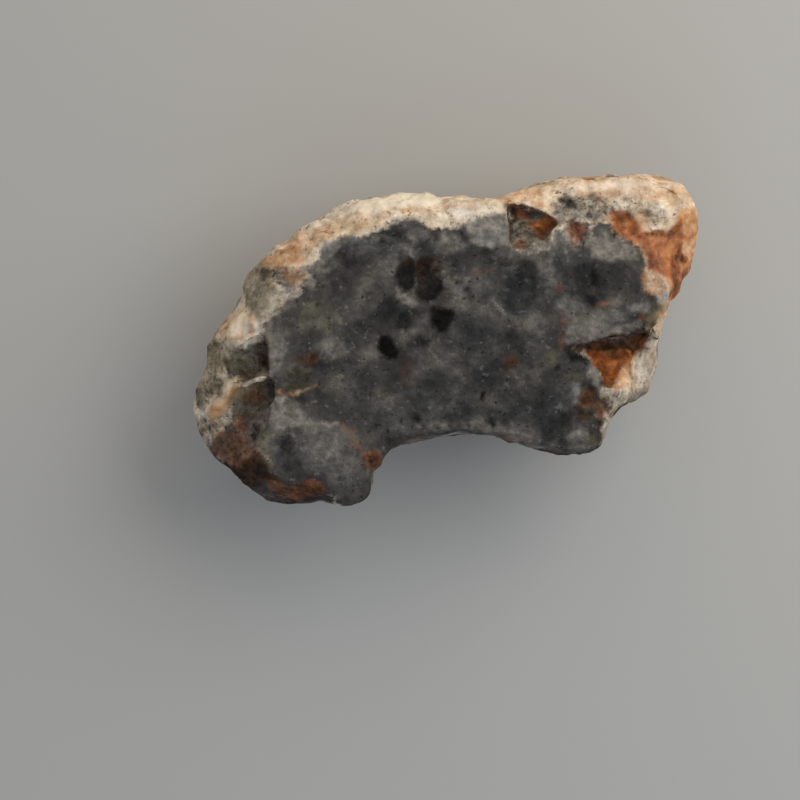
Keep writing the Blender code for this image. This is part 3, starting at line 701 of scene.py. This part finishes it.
# %% Brown stains and painted shadows, and olive
BROWN_STAINS_AND_PAINTED_SHADOWS = [
    # painted shadow: the dark band under the ledge's lower edge, where the ledge shades the cavity
    ([(566, 345), (586, 342), (600, 338), (616, 334), (632, 330), (652, 326), (653, 340), (645, 350),
      (625, 349), (600, 348), (575, 351)], 0.93),
    # painted shadow on the upper wall of the top pit, which faces away from the lamp
    ([(509, 205), (515, 208), (516, 230), (515, 250), (510, 248), (508, 220)], 0.8),
    ([(609, 220), (614, 226), (622, 236), (634, 240), (645, 246), (640, 249), (626, 242),
      (615, 236)], 0.75),
    ([(579, 388), (590, 386), (597, 390), (596, 402), (590, 409), (580, 407)], 0.5),
    ([(222, 362), (240, 358), (262, 347), (265, 362), (256, 372), (240, 376), (225, 374)], 0.3),
    # painted shadow in the hollow below the cream vein at the left end
    ([(245, 385), (270, 378), (273, 392), (262, 402), (248, 398)], 0.6),
    # painted shade on the steep wall at the lower left, which faces away from the lamp
    ([(208, 454), (228, 459), (242, 463), (256, 452), (265, 454), (270, 468), (280, 476), (270, 482),
      (256, 485), (248, 489), (238, 482), (226, 468)], 0.85),
    # partly brown rock, partly painted shade: the wall along the lower edge, facing away from the lamp
    ([(246, 490), (262, 492), (290, 498), (330, 499), (332, 506), (290, 506), (256, 502)], 0.75),
    ([(648, 322), (652, 318), (657, 324), (651, 334), (645, 334)], 0.7),
]
BROWN_OVALS_AND_PAINTED_SHADOWS = [
    # (530, 211) is painted shadow along the top pit's upper wall
    (530, 211, 9, 3.5, 0.65), (575, 225, 6, 4, 0.7), (683, 256, 5, 6, 0.75), (672, 233, 6, 3, 0.7),
    (656, 234, 9, 4, 0.65), (625, 221, 10, 9, 0.52), (673, 267, 4, 6, 0.6), (674, 284, 4, 7, 0.65),
    (652, 267, 3, 2.5, 0.5), (620, 365, 9, 3, 0.6), (607, 371, 5, 5, 0.75), (606, 385, 5, 4, 0.9),
    (613, 379, 5, 4, 0.65), (585, 413, 8, 6, 0.7), (603, 410, 5, 7, 0.4), (593, 438, 9, 8, 0.4),
    # (263, 363) and (263, 345) are painted shadow on the cliff at the left end, which faces away from the
    # lamp
    (263, 363, 5, 9, 1.0), (263, 345, 3.5, 8, 0.7), (210, 343, 3.5, 6, 0.7), (224, 337, 3.5, 3.5, 0.6),
    (234, 351, 8, 5, 0.45), (204, 431, 3.5, 3.5, 0.7), (211, 382, 8, 8, 0.4), (271, 277, 8, 3.5, 0.55),
    # (571, 348) is painted shadow under the ledge
    (300, 272, 9, 4, 0.45), (571, 348, 7, 4, 0.6), (510, 361, 9, 7, 0.7), (306, 359, 13, 6, 0.7),
    (374, 460, 10, 8, 0.75), (235, 446, 24, 17, 0.55), (300, 488, 26, 9, 0.5), (281, 492, 8, 6, 0.7),
    (318, 490, 8, 6, 0.6), (288, 256, 14, 6, 0.2), (276, 268, 10, 5, 0.25), (292, 276, 12, 5, 0.25),
    (605, 405, 9, 12, 0.7), (541, 234, 12, 8, 0.75), (546, 225, 7, 5, 0.4), (526, 245, 7, 6, 0.35),
    (604, 396, 6, 7, 0.4), (604, 430, 6, 12, 0.25), (632, 366, 8, 9, 0.45), (430, 270, 16, 15, 0.75),
    (436, 290, 13, 15, 0.55), (443, 312, 10, 5, 0.4), (255, 430, 9, 10, 0.75), (243, 420, 14, 8, 0.5),
    # (252, 398) is painted shadow in the hollow below the cream vein
    (252, 398, 12, 8, 0.75), (244, 373, 9, 6, 0.6), (587, 398, 10, 10, 0.85), (600, 409, 8, 9, 0.6),
    # (640, 345), (616, 338) and (641, 337) are painted shadow under the ledge
    (640, 345, 13, 10, 0.9), (606, 366, 5, 8, 0.5), (623, 353, 16, 5, 0.6), (609, 380, 7, 7, 0.7),
    (615, 396, 8, 5, 0.45), (575, 411, 8, 9, 0.45), (582, 414, 9, 6, 0.5), (616, 338, 8, 4, 1.0),
    (641, 337, 8, 6, 1.0),
]
OLIVE_STAINS = [
    ([(244, 284), (258, 258), (270, 264), (278, 284), (284, 300), (270, 322), (258, 314),
      (243, 308)], 0.5),
    ([(300, 305), (330, 305), (330, 330), (300, 330)], 0.35),
    ([(198, 345), (225, 340), (230, 356), (215, 372), (200, 370)], 0.42),
    ([(284, 370), (310, 368), (312, 384), (298, 390), (285, 388)], 0.5),
    ([(262, 430), (275, 430), (275, 465), (264, 462)], 0.35),
    ([(648, 305), (662, 305), (655, 325), (645, 325)], 0.4),
    ([(222, 404), (236, 388), (256, 374), (268, 370), (266, 380), (246, 396), (228, 408)], 0.6),
    ([(604, 348), (612, 345), (622, 349), (612, 354)], 0.5),
]
OLIVE_OVALS = [
    (199, 397, 7, 14, 0.6), (243, 364, 20, 12, 0.45), (206, 362, 14, 13, 0.34), (208, 382, 13, 9, 0.42),
    (232, 352, 16, 8, 0.35), (254, 352, 8, 8, 0.2), (262, 400, 8, 14, 0.35), (268, 340, 7, 14, 0.3),
    (243, 341, 12, 5, 0.4), (240, 411, 12, 8, 0.5), (586, 412, 7, 7, 0.6), (210, 452, 8, 6, 0.5),
    (593, 438, 9, 8, 0.5), (575, 378, 10, 7, 0.4), (320, 288, 6, 5, 0.5), (430, 290, 8, 8, 0.35),
    (640, 256, 5, 8, 0.5), (550, 357, 7, 5, 0.5), (568, 430, 12, 8, 0.2),
]
print(len(BROWN_STAINS_AND_PAINTED_SHADOWS + BROWN_OVALS_AND_PAINTED_SHADOWS), "brown and", len(OLIVE_STAINS + OLIVE_OVALS), "olive patches")

# %% Grey zones without rind, and all patches by the name of their weight
GREY_ZONES = [
    ([(507, 204), (532, 208), (558, 222), (550, 252), (511, 254)], 0.85),
    ([(564, 218), (590, 222), (588, 250), (566, 250)], 0.85),
    ([(604, 210), (628, 206), (640, 222), (640, 244), (620, 240)], 0.7),
    ([(232, 402), (250, 380), (272, 378), (274, 400), (270, 430), (262, 466), (232, 462), (212, 455),
      (214, 436), (228, 424)], 0.9),
    ([(220, 358), (240, 351), (264, 340), (268, 362), (260, 376), (240, 380), (224, 376)], 0.85),
    ([(204, 342), (216, 340), (228, 348), (224, 372), (214, 396), (200, 392), (202, 352)], 0.35),
    ([(196, 386), (216, 376), (219, 390), (204, 412), (194, 408)], 0.62),
    ([(244, 288), (276, 284), (290, 300), (276, 320), (268, 336), (260, 313), (244, 310)], 0.42),
    ([(276, 268), (294, 264), (312, 264), (312, 290), (298, 302), (282, 296)], 0.75),
    ([(588, 208), (612, 206), (606, 232), (588, 232)], 0.75),
    ([(554, 204), (570, 206), (568, 228), (556, 226)], 0.75),
    ([(600, 190), (640, 192), (652, 200), (636, 208), (604, 210)], 0.28),
    ([(598, 386), (614, 384), (628, 392), (624, 404), (614, 430), (602, 442)], 0.55),
    ([(632, 344), (648, 340), (650, 352), (634, 372), (626, 370)], 0.6),
    ([(644, 266), (660, 272), (670, 290), (668, 310), (652, 300), (641, 280)], 0.4),
    ([(194, 414), (212, 416), (216, 440), (214, 458), (200, 448)], 0.55),
    ([(206, 414), (224, 403), (236, 391), (236, 404), (228, 424), (212, 434)], 0.45),
    ([(625, 400), (634, 376), (646, 352), (668, 340), (664, 380), (640, 408)], 0.3),
    ([(226, 460), (262, 452), (275, 466), (330, 484), (336, 512), (290, 514), (240, 502)], 1.0),
    ([(262, 274), (280, 270), (278, 281), (264, 284)], 0.55),
    ([(560, 196), (600, 192), (606, 210), (590, 220), (566, 216)], 0.55),
    ([(634, 206), (656, 200), (674, 212), (664, 226), (642, 226)], 0.38),
]
WEIGHT_PATCHES = {
    "dark": (BLACK_CLASTS + GREY_CLASTS, DARK_OVALS),
    "blue": (BLUE_PATCHES, []),
    "pale": (PALE_PATCHES_AND_PAINTED_LIGHT, PALE_OVALS),
    "rust": (RUST_STAINS, RUST_OVALS),
    "ochre": (OCHRE_STAINS, []),
    "brown": (BROWN_STAINS_AND_PAINTED_SHADOWS, BROWN_OVALS_AND_PAINTED_SHADOWS),
    "olive": (OLIVE_STAINS, OLIVE_OVALS),
    "bare": ([(FACE_OUTLINE, 1.0)] + GREY_ZONES, []),
}
print("patches:", {name: len(a) + len(b) for name, (a, b) in WEIGHT_PATCHES.items()})

# %% [markdown]
# ## Weights on the points
# The patches are read at places shifted a little by noise, which makes their edges ragged,
# because a clast has a broken outline. An edge fades over about three pixels to each side,
# as it does in the photograph. The flanks and the underside aren't seen there, so their
# colours come from noise: mostly rind, with rust, ochre and bare grey rock breaking
# through. The photograph shows the steep wall under the near edge edge-on. Patches read on
# it would run down it as streaks, so it takes none, but more bare rock and less stain.

# %% Distance from an outline, and a smooth step


def distance_inside(points, outline):
    """Distance of each x, y point from the outline, positive inside it."""
    corners = np.array(outline)
    nearest = np.full(len(points), np.inf)
    inside = np.zeros(len(points), dtype=bool)
    for start, end in zip(corners, np.roll(corners, -1, axis=0)):
        along = end - start
        offset = points - start
        share = np.clip(offset @ along / (along @ along), 0, 1)
        nearest = np.minimum(nearest, np.linalg.norm(offset - share[:, None] * along, axis=1))
        crosses = (start[1] > points[:, 1]) != (end[1] > points[:, 1])
        rise = end[1] - start[1] if end[1] != start[1] else 1.0
        inside ^= crosses & (points[:, 0] < start[0] + (points[:, 1] - start[1]) * along[0] / rise)
    return np.where(inside, nearest, -nearest)


def smooth_step(low, high, values):
    """0 below low, 1 above high, and a smooth slope between them."""
    t = np.clip((values - low) / (high - low), 0, 1)
    return t * t * (3 - 2 * t)


face_edge = photo_to_mm(FACE_OUTLINE)
print(f"the origin is {distance_inside(np.zeros((1, 2)), face_edge)[0]:.2f} mm inside the edge of the face")

# %% Places on the stone, and the same places with ragged shifts
# size of the noise and reach of the shift, in millimetres
RAGGED_EDGES = ((0.34, 0.10), (0.12, 0.06))
RAGGED_SHIFTS = (11.0, 47.0)


def noise_at(points, size, shift):
    """Noise of that size in millimetres, about -0.7 to 0.7, at each point."""
    return np.array([noise.noise(Vector(point) / size + Vector((shift, 0, 0))) for point in points])


def read_mesh(mesh):
    """The positions and the normals of a mesh's points."""
    values = []
    for name in ("co", "normal"):
        flat = np.empty(3 * len(mesh.vertices))
        mesh.vertices.foreach_get(name, flat)
        values.append(flat.reshape(-1, 3))
    return values


points, normals = read_mesh(stone.data)
ragged = points[:, 0:2].copy()
for size, reach in RAGGED_EDGES:
    for axis, shift in enumerate(RAGGED_SHIFTS):
        ragged[:, axis] += reach * noise_at(points, size, shift)
print("ragged shift up to", round(float(np.abs(ragged - points[:, 0:2]).max()), 3), "mm")

# %% Weights on the broken face and the shoulder, placed from the photograph
EDGE_MM = 0.055
SOFT_SHARE = 0.7


def patch_weight(outlines, ovals):
    """The strongest of the patches at each point."""
    weight = np.zeros(len(ragged))
    for outline, strength in outlines:
        depth = distance_inside(ragged, photo_to_mm(outline))
        weight = np.maximum(weight, strength * smooth_step(-EDGE_MM, EDGE_MM, depth))
    for x, y, half_width, half_height, strength in ovals:
        radii = np.array((half_width, half_height)) / PIXELS_PER_MM
        offset = (ragged - photo_to_mm((x, y))) / radii
        depth = (1 - np.linalg.norm(offset, axis=1)) * radii.min()
        soft_edge = max(EDGE_MM, SOFT_SHARE * radii.min())
        weight = np.maximum(weight, strength * smooth_step(-EDGE_MM, soft_edge, depth))
    return weight


weights = {name: patch_weight(*patches) for name, patches in WEIGHT_PATCHES.items()}
print("placed:", {name: round(float(values.mean()), 3) for name, values in weights.items()})

# %% Where the photograph shows the stone: not on the flanks and not on the near wall
# where each step starts and where it is full: tilts of the normal, depths in millimetres
SEEN_TILT = (-0.16, 0.06)
FRONT_TILT = (0.35, 0.8)
FRONT_DEPTH = (2.3, 1.5)
WALL_TILT = (0.3, 0.1)
WALL_TOP = (0.15, 0.5)

depth = FACE_HEIGHT - points[:, 2]
facing_front = smooth_step(*FRONT_TILT, -normals[:, 1])
front = facing_front * smooth_step(*FRONT_DEPTH, depth)
front_wall = facing_front * smooth_step(*WALL_TILT, normals[:, 2]) * smooth_step(*WALL_TOP, depth)
seen = smooth_step(*SEEN_TILT, normals[:, 2]) * (1 - front_wall)
unseen = 1 - seen
print(f"{unseen.mean():.2f} of the points take their colour from noise")

# %% Weights on the flanks and the underside, from noise
# name: size of the noise in millimetres, where it starts and is full, strength, shift
FLANK_ZONES = {
    "dark": (0.42, 0.16, 0.52, 0.5, 3.0),
    "blue": (1.1, 0.05, 0.45, 0.3, 17.0),
    "pale": (0.6, 0.05, 0.45, 0.5, 29.0),
    "rust": (0.95, 0.12, 0.60, 0.85, 31.0),
    "ochre": (1.3, -0.25, 0.45, 0.55, 43.0),
    "brown": (0.5, 0.20, 0.60, 0.7, 59.0),
    "olive": (0.8, 0.05, 0.55, 0.5, 67.0),
    "bare": (1.25, 0.06, 0.34, 1.0, 73.0),
}
FINER_SIZE = 0.3
FINER_SHARE = 0.4
BARE_FRONT_SHARE = 0.7
FRONT_STAIN_LOSS = 0.75

for name, (size, start, full, strength, shift) in FLANK_ZONES.items():
    spread = noise_at(points, size, shift) + FINER_SHARE * noise_at(points, FINER_SIZE * size, shift)
    if name == "bare":
        spread += BARE_FRONT_SHARE * front
    flank = strength * smooth_step(start, full, spread)
    weights[name] = seen * weights[name] + unseen * flank
for name in ("rust", "ochre"):
    weights[name] *= 1 - FRONT_STAIN_LOSS * front * unseen
print("in all:", {name: round(float(values.mean()), 3) for name, values in weights.items()})

# %% [markdown]
# ## Relief
# The rind is lumpy and crumbly, and the broken face is nearly flat with a fine grain. A
# bump in the material would leave the outline smooth, so the points themselves are moved.
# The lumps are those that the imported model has, so both share one shape. The crumbs and the
# grain are too fine for it and are only drawn here. The weights say where each of them is.

# %% Heights along the normals, from pairs of size and height in millimetres
RIND_LUMPS = ((1.9, 0.16), (0.75, 0.085), (0.34, 0.04))
FACE_LUMPS = ((1.6, 0.022), (0.5, 0.014))
CRUMBS = ((0.30, 0.035), (0.16, 0.022), (0.09, 0.012))
FACE_GRAIN = ((0.28, 0.010), (0.12, 0.006))
LUMP_ROUGHNESS = 1.0
LUMP_LACUNARITY = 2.0
LUMP_OCTAVES = 2
FACE_BAND = 0.06
FACE_TILT = (0.80, 0.97)
FLANK_CRUMBS = 0.5


def lump_height(lumps):
    """Sum of the noises at each point, each with its own size and height."""
    total = np.zeros(len(points))
    for size, height in lumps:
        fractal = [
            noise.fractal(Vector(point) / size, LUMP_ROUGHNESS, LUMP_LACUNARITY, LUMP_OCTAVES)
            for point in points
        ]
        total += height * np.array(fractal)
    return total


level = smooth_step(FACE_BAND, 0.0, np.abs(points[:, 2] - FACE_HEIGHT))
on_face = level * smooth_step(*FACE_TILT, normals[:, 2])
crumbly = np.maximum(1 - weights["bare"], np.maximum(weights["rust"], weights["brown"]))
crumbly = np.clip(crumbly + FLANK_CRUMBS * unseen, 0, 1)
large = lump_height(RIND_LUMPS) * (1 - on_face) + lump_height(FACE_LUMPS) * on_face
fine = lump_height(CRUMBS) * crumbly + lump_height(FACE_GRAIN) * (1 - crumbly)
relief = large + fine
print(f"relief from {relief.min():.3f} to {relief.max():.3f} mm")

# %% Move the points, and level the flats that the stone rests on
RELIEF_TILT = (0.0, 0.5)
FLATNESS = 0.012

moved = points + normals * relief[:, None]
facing_up = smooth_step(*RELIEF_TILT, normals[:, 2])
for outline, height, edge in RELIEF.values():
    moved[:, 2] += height * smooth_step(-edge, edge, distance_inside(points[:, 0:2], outline)) * facing_up
moved[moved[:, 2] < FLATNESS, 2] = 0
stone.data.vertices.foreach_set("co", moved.ravel())
stone.data.update()
print(f"{np.count_nonzero(moved[:, 2] == 0)} points lie on the ground")

# %% Write the weights on the mesh and turn millimetres into metres
for name, values in weights.items():
    layer = stone.data.attributes.new(name, "FLOAT", "POINT")
    layer.data.foreach_set("value", values.astype(np.float32))
stone.data.transform(Matrix.Scale(METRES_PER_MM, 4))
stone.data.shade_smooth()
stone.data.calc_loop_triangles()
print(f"stone has {len(stone.data.loop_triangles)} triangles")

# %% [markdown]
# ## Lunar breccia
# One material shows the whole stone. Its ground is a mix of the grey broken matrix and the
# cream rind, each mottled with noise of the size seen in the photograph. Rust, ochre and
# clasts are laid over it by their weights, which are broken into grains, as stain creeps
# along grains. Unwrapping the stone and painting on it would leave seams. Noise that is
# read at the point's own place in millimetres has none, and every size in it is a real one.

# %% Colours, the material, and one function for all of its nodes


def linear(code):
    """An sRGB hex colour as linear red, green, blue and opacity."""
    values = [int(code[start:start + 2], 16) / 255 for start in (1, 3, 5)]
    return tuple(v / 12.92 if v <= 0.04045 else ((v + 0.055) / 1.055) ** 2.4 for v in values) + (1.0,)


def add_node(kind, settings, inputs, output=0):
    """Add a node, set its properties, link or set its inputs, and give one of its outputs."""
    node = tree.nodes.new(kind)
    for name, value in settings.items():
        setattr(node, name, value)
    for name, value in inputs.items():
        if isinstance(value, bpy.types.NodeSocket):
            tree.links.new(value, node.inputs[name])
        else:
            node.inputs[name].default_value = value
    return node.outputs[output]


breccia = bpy.data.materials.new("lunar_breccia_weathered")
breccia.use_nodes = True
tree = breccia.node_tree
surface = tree.nodes["Principled BSDF"]
place = add_node("ShaderNodeTexCoord", {}, {}, "Object")
millimetres = add_node(
    "ShaderNodeVectorMath", {"operation": "SCALE"}, {0: place, "Scale": 1 / METRES_PER_MM}
)
print("the middle grey is", [round(value, 3) for value in linear("#808080")[:3]], "in linear light")

# %% Grains and mottles, each from a size in millimetres
MIDDLE_NOISE = (0.3, 0.7)  # most values of noise lie in this span
PLAIN_ROUGHNESS = 0.5
# size in millimetres, detail and roughness
SOFT_GRAIN = (0.24, 3.0, 0.6)
SMALL_GRAIN = (0.09, 3.0, 0.65)
SOFT_SHADE = (0.84, 1.18)
SMALL_SHADE = (0.82, 1.18)


def noise_of(size, detail, roughness=PLAIN_ROUGHNESS):
    """Inputs for a Noise node with features of that size in millimetres."""
    return {"Vector": millimetres, "Scale": 1 / size, "Detail": detail, "Roughness": roughness}


def stretched(value, span, reach):
    """Inputs for a Map Range node that stretches the span of the value to the reach."""
    return {"Value": value, "From Min": span[0], "From Max": span[1], "To Min": reach[0], "To Max": reach[1]}


def grains(noise_inputs, span, reach):
    """Noise, with the values of the span stretched to the reach."""
    value = add_node("ShaderNodeTexNoise", {}, noise_inputs)
    return add_node("ShaderNodeMapRange", {}, stretched(value, span, reach))


def mottle(noise_inputs, stops):
    """A colour that noise reads off a ramp of (place, hex colour) stops, two of them there already."""
    value = add_node("ShaderNodeTexNoise", {}, noise_inputs)
    mottled = add_node("ShaderNodeValToRGB", {}, {"Fac": value})
    elements = mottled.node.color_ramp.elements
    for _ in stops[2:]:
        elements.new(0.5)
    for element, (position, code) in zip(elements, stops):
        element.position = position
        element.color = linear(code)
    return mottled


soft_shade = grains(noise_of(*SOFT_GRAIN), MIDDLE_NOISE, SOFT_SHADE)
small_shade = grains(noise_of(*SMALL_GRAIN), MIDDLE_NOISE, SMALL_SHADE)
shade = add_node("ShaderNodeMath", {"operation": "MULTIPLY"}, {0: soft_shade, 1: small_shade})
print(f"{len(tree.nodes)} nodes with the shade of the grain")

# %% Weights with their edges broken into grains
EDGE_DETAIL = 4.0
EDGE_ROUGHNESS = 0.7
BARE_GRAIN = 0.11
BARE_REACH = 1.8


def weight_of(name, size, reach):
    """The weight, its half-strong parts broken by that much into grains of that size in millimetres."""
    plain = add_node("ShaderNodeAttribute", {"attribute_name": name}, {}, "Fac")
    break_up = grains(noise_of(size, EDGE_DETAIL, EDGE_ROUGHNESS), MIDDLE_NOISE, (-reach, reach))
    rest = add_node("ShaderNodeMath", {"operation": "SUBTRACT"}, {0: 1.0, 1: plain})
    loose = add_node("ShaderNodeMath", {"operation": "MULTIPLY"}, {0: plain, 1: rest})
    change = add_node("ShaderNodeMath", {"operation": "MULTIPLY"}, {0: loose, 1: break_up})
    return add_node("ShaderNodeMath", {"operation": "ADD", "use_clamp": True}, {0: plain, 1: change})


bare_share = weight_of("bare", BARE_GRAIN, BARE_REACH)
print(f"{len(tree.nodes)} nodes with the share of bare rock")

# %% [markdown]
# ### Ground
# The matrix is rock flour pressed hard, so it is a dark grey with warmer zones and with
# grains of black and pale mineral. The rind is carbonate that water left in the pores: a
# chalky cream with greyer zones and brown specks. Both have the same make, a mottle under
# the shade of the grain with speckles over it, so one function lays either of them.

# %% Grey matrix and cream rind
# a Mix node's inputs for colours, and its output for them
SHARE, UNDER, OVER, MIXED = 0, 6, 7, 2
LAY = {"data_type": "RGBA"}
TINT = {"data_type": "RGBA", "blend_type": "MULTIPLY"}
GROUND_DETAIL = 4.0
GROUND_ROUGHNESS = 0.6
MATRIX_SIZE = 0.75
RIND_SIZE = 0.55
MATRIX_STOPS = ((0.28, "#272728"), (0.44, "#3d3d3d"), (0.56, "#53514e"), (0.72, "#78746d"))
RIND_STOPS = ((0.28, "#ab9072"), (0.42, "#d6c2a7"), (0.55, "#eedec8"), (0.72, "#f9f0e2"))
# name: noise, where it starts and is full, strength, colour
MATRIX_SPECKLES = {
    "warm_zones": (noise_of(0.9, 3.0), (0.48, 0.66), 0.18, "#544c42"),
    "dark_grains": (noise_of(0.11, 2.0), (0.64, 0.70), 0.7, "#1d1c1c"),
    "pale_grains": (noise_of(0.13, 2.0), (0.36, 0.30), 0.2, "#a8a49c"),
}
RIND_SPECKLES = {
    "grey_zones": (noise_of(0.7, 3.0), (0.52, 0.66), 0.5, "#a39c90"),
    "brown_specks": (noise_of(0.1, 2.0), (0.62, 0.68), 0.75, "#5d4a35"),
}


def lay_ground(size, stops, speckles):
    """A mottle of that size in millimetres under the shade of the grain, with speckles over it."""
    mottled = mottle(noise_of(size, GROUND_DETAIL, GROUND_ROUGHNESS), stops)
    ground = add_node("ShaderNodeMix", TINT, {SHARE: 1.0, UNDER: mottled, OVER: shade}, MIXED)
    for noise_inputs, span, strength, code in speckles.values():
        share = grains(noise_inputs, span, (0.0, strength))
        ground = add_node("ShaderNodeMix", LAY, {SHARE: share, UNDER: ground, OVER: linear(code)}, MIXED)
    return ground


rind = lay_ground(RIND_SIZE, RIND_STOPS, RIND_SPECKLES)
matrix = lay_ground(MATRIX_SIZE, MATRIX_STOPS, MATRIX_SPECKLES)
colour = add_node("ShaderNodeMix", LAY, {SHARE: bare_share, UNDER: rind, OVER: matrix}, MIXED)
print(f"{len(tree.nodes)} nodes with the ground")

# %% Stains, clasts, painted shadow and painted light, laid over the ground in this order
# name: size of the mottle in millimetres, how far it breaks up, then dark, middle and bright
LAYERS = {
    "ochre": (0.22, 1.5, "#a06c3e", "#cc9565", "#e6bf93"),
    "rust": (0.28, 0.8, "#6c381d", "#a15c30", "#ca8650"),
    "olive": (0.20, 1.0, "#4a4a38", "#66654e", "#868266"),
    # on the rind, pale also paints light on the left shoulder and the back rim
    "pale": (0.18, 0.8, "#7c7871", "#a19b91", "#c4bcae"),
    # brown also paints shadow under the ledge, in pits and on walls that face away from the lamp
    "brown": (0.16, 1.4, "#1d140d", "#34241a", "#553822"),
    "dark": (0.16, 0.6, "#050505", "#0b0b0a", "#181716"),
}
LAYER_STOPS = (0.32, 0.5, 0.68)
LAYER_DETAIL = 3.0
EDGE_GRAIN_SHARE = 0.6
BRIGHT_CREAM = "#fbf0dc"
BLUE_CAST = "#cbd5e3"
BLUE_GRAIN = 0.2
BLUE_REACH = 1.0

for name, (size, reach, *codes) in LAYERS.items():
    layer = mottle(noise_of(size, LAYER_DETAIL), list(zip(LAYER_STOPS, codes)))
    # on the rind the pale weight lays bright cream, which on two slopes is painted light
    if name == "pale":
        bright = linear(BRIGHT_CREAM)
        layer = add_node("ShaderNodeMix", LAY, {SHARE: bare_share, UNDER: bright, OVER: layer}, MIXED)
    share = weight_of(name, EDGE_GRAIN_SHARE * size, reach)
    colour = add_node("ShaderNodeMix", LAY, {SHARE: share, UNDER: colour, OVER: layer}, MIXED)
share = weight_of("blue", BLUE_GRAIN, BLUE_REACH)
colour = add_node("ShaderNodeMix", TINT, {SHARE: share, UNDER: colour, OVER: linear(BLUE_CAST)}, MIXED)
tree.links.new(colour, surface.inputs["Base Color"])
print(f"{len(tree.nodes)} nodes with the stains and clasts")

# %% [markdown]
# ### Finish
# Broken rock and carbonate have an IOR near 1.6, but their rough grains scatter the light,
# so the eye sees hardly any shine. Grains finer than the mesh are drawn with a bump, and
# the same grains make the roughness uneven.

# %% Matte finish and the finest relief
ROCK_IOR = 1.6
DUSTY_SHINE = 0.06
MATTE_ROUGHNESS = (0.68, 0.92)
FINEST_GRAIN = (0.07, 3.0, 0.65)
BUMP_GRAIN = (0.16, 4.0, 0.6)
BUMP_HEIGHT_MM = 0.06
BUMP_STRENGTH = 0.6
FINE_BUMP_SHARE = 0.4

fine_grain = add_node("ShaderNodeTexNoise", {}, noise_of(*FINEST_GRAIN))
fine_bumps = add_node("ShaderNodeMath", {"operation": "MULTIPLY"}, {0: fine_grain, 1: FINE_BUMP_SHARE})
coarse_bumps = add_node("ShaderNodeTexNoise", {}, noise_of(*BUMP_GRAIN))
bumps = add_node("ShaderNodeMath", {"operation": "ADD"}, {0: coarse_bumps, 1: fine_bumps})
bump_distance = METRES_PER_MM * BUMP_HEIGHT_MM
bump_inputs = {"Strength": BUMP_STRENGTH, "Distance": bump_distance, "Height": bumps}
tree.links.new(add_node("ShaderNodeBump", {}, bump_inputs), surface.inputs["Normal"])
matte = add_node("ShaderNodeMapRange", {}, stretched(fine_grain, MIDDLE_NOISE, MATTE_ROUGHNESS))
tree.links.new(matte, surface.inputs["Roughness"])
surface.inputs["IOR"].default_value = ROCK_IOR
surface.inputs["Specular IOR Level"].default_value = DUSTY_SHINE
stone.data.materials.clear()
stone.data.materials.append(breccia)
print(f"material has {len(tree.nodes)} nodes")

# %% [markdown]
# ## Floor and light
# The stone lies on a plain pale board. The photograph's main light is soft and comes from
# the upper right, about 40 degrees above the board. The shadow is weak, warm on the far
# side and cool on the near side, so two weak lamps fill it from there, and a pale sky
# lights the rest.

# %% Floor
FLOOR_SIZE = 0.6
BOARD_GREY = "#b5b6b4"
BOARD_ROUGHNESS = 0.9

floor_mesh = bpy.data.meshes.new("floor")
half = 0.5 * FLOOR_SIZE
floor_mesh.from_pydata(
    [(-half, -half, 0), (half, -half, 0), (half, half, 0), (-half, half, 0)], [], [(0, 1, 2, 3)]
)
floor = bpy.data.objects.new("floor", floor_mesh)
bpy.context.scene.collection.objects.link(floor)
board = bpy.data.materials.new("pale_matte_board")
board.use_nodes = True
board_surface = board.node_tree.nodes["Principled BSDF"]
board_surface.inputs["Base Color"].default_value = linear(BOARD_GREY)
board_surface.inputs["Roughness"].default_value = BOARD_ROUGHNESS
floor_mesh.materials.append(board)
print(f"board {FLOOR_SIZE} m wide")

# %% Lamps
# name: direction, distance and size in metres, power in watts, colour
LAMPS = {
    "soft_key": ((0.80, 0.49, 0.84), 0.055, 0.050, 0.0205, "#fff9f0"),
    "warm_fill": ((-0.10, 0.90, 0.60), 0.060, 0.060, 0.006, "#ffd090"),
    "cool_fill": ((0.10, -0.90, 0.70), 0.080, 0.080, 0.008, "#c0d8ff"),
}

for name, (direction, distance, size, power, code) in LAMPS.items():
    lamp_data = bpy.data.lights.new(name, "AREA")
    lamp_data.size = size
    lamp_data.energy = power
    lamp_data.color = linear(code)[:3]
    lamp = bpy.data.objects.new(name, lamp_data)
    lamp.location = distance * Vector(direction).normalized()
    lamp.rotation_euler = Vector(direction).to_track_quat("Z", "Y").to_euler()
    bpy.context.scene.collection.objects.link(lamp)
print("lamps:", ", ".join(LAMPS))

# %% Sky
SKY_WHITE = "#eef2f6"
SKY_STRENGTH = 0.42

world = bpy.data.worlds.new("pale_sky")
world.use_nodes = True
sky = world.node_tree.nodes["Background"]
sky.inputs["Color"].default_value = linear(SKY_WHITE)
sky.inputs["Strength"].default_value = SKY_STRENGTH
bpy.context.scene.world = world
bpy.context.scene.view_settings.view_transform = "Standard"
print("sky strength", SKY_STRENGTH)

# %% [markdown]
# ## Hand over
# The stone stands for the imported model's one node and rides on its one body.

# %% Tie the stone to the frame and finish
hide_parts("meteorite")
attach(stone, "root")
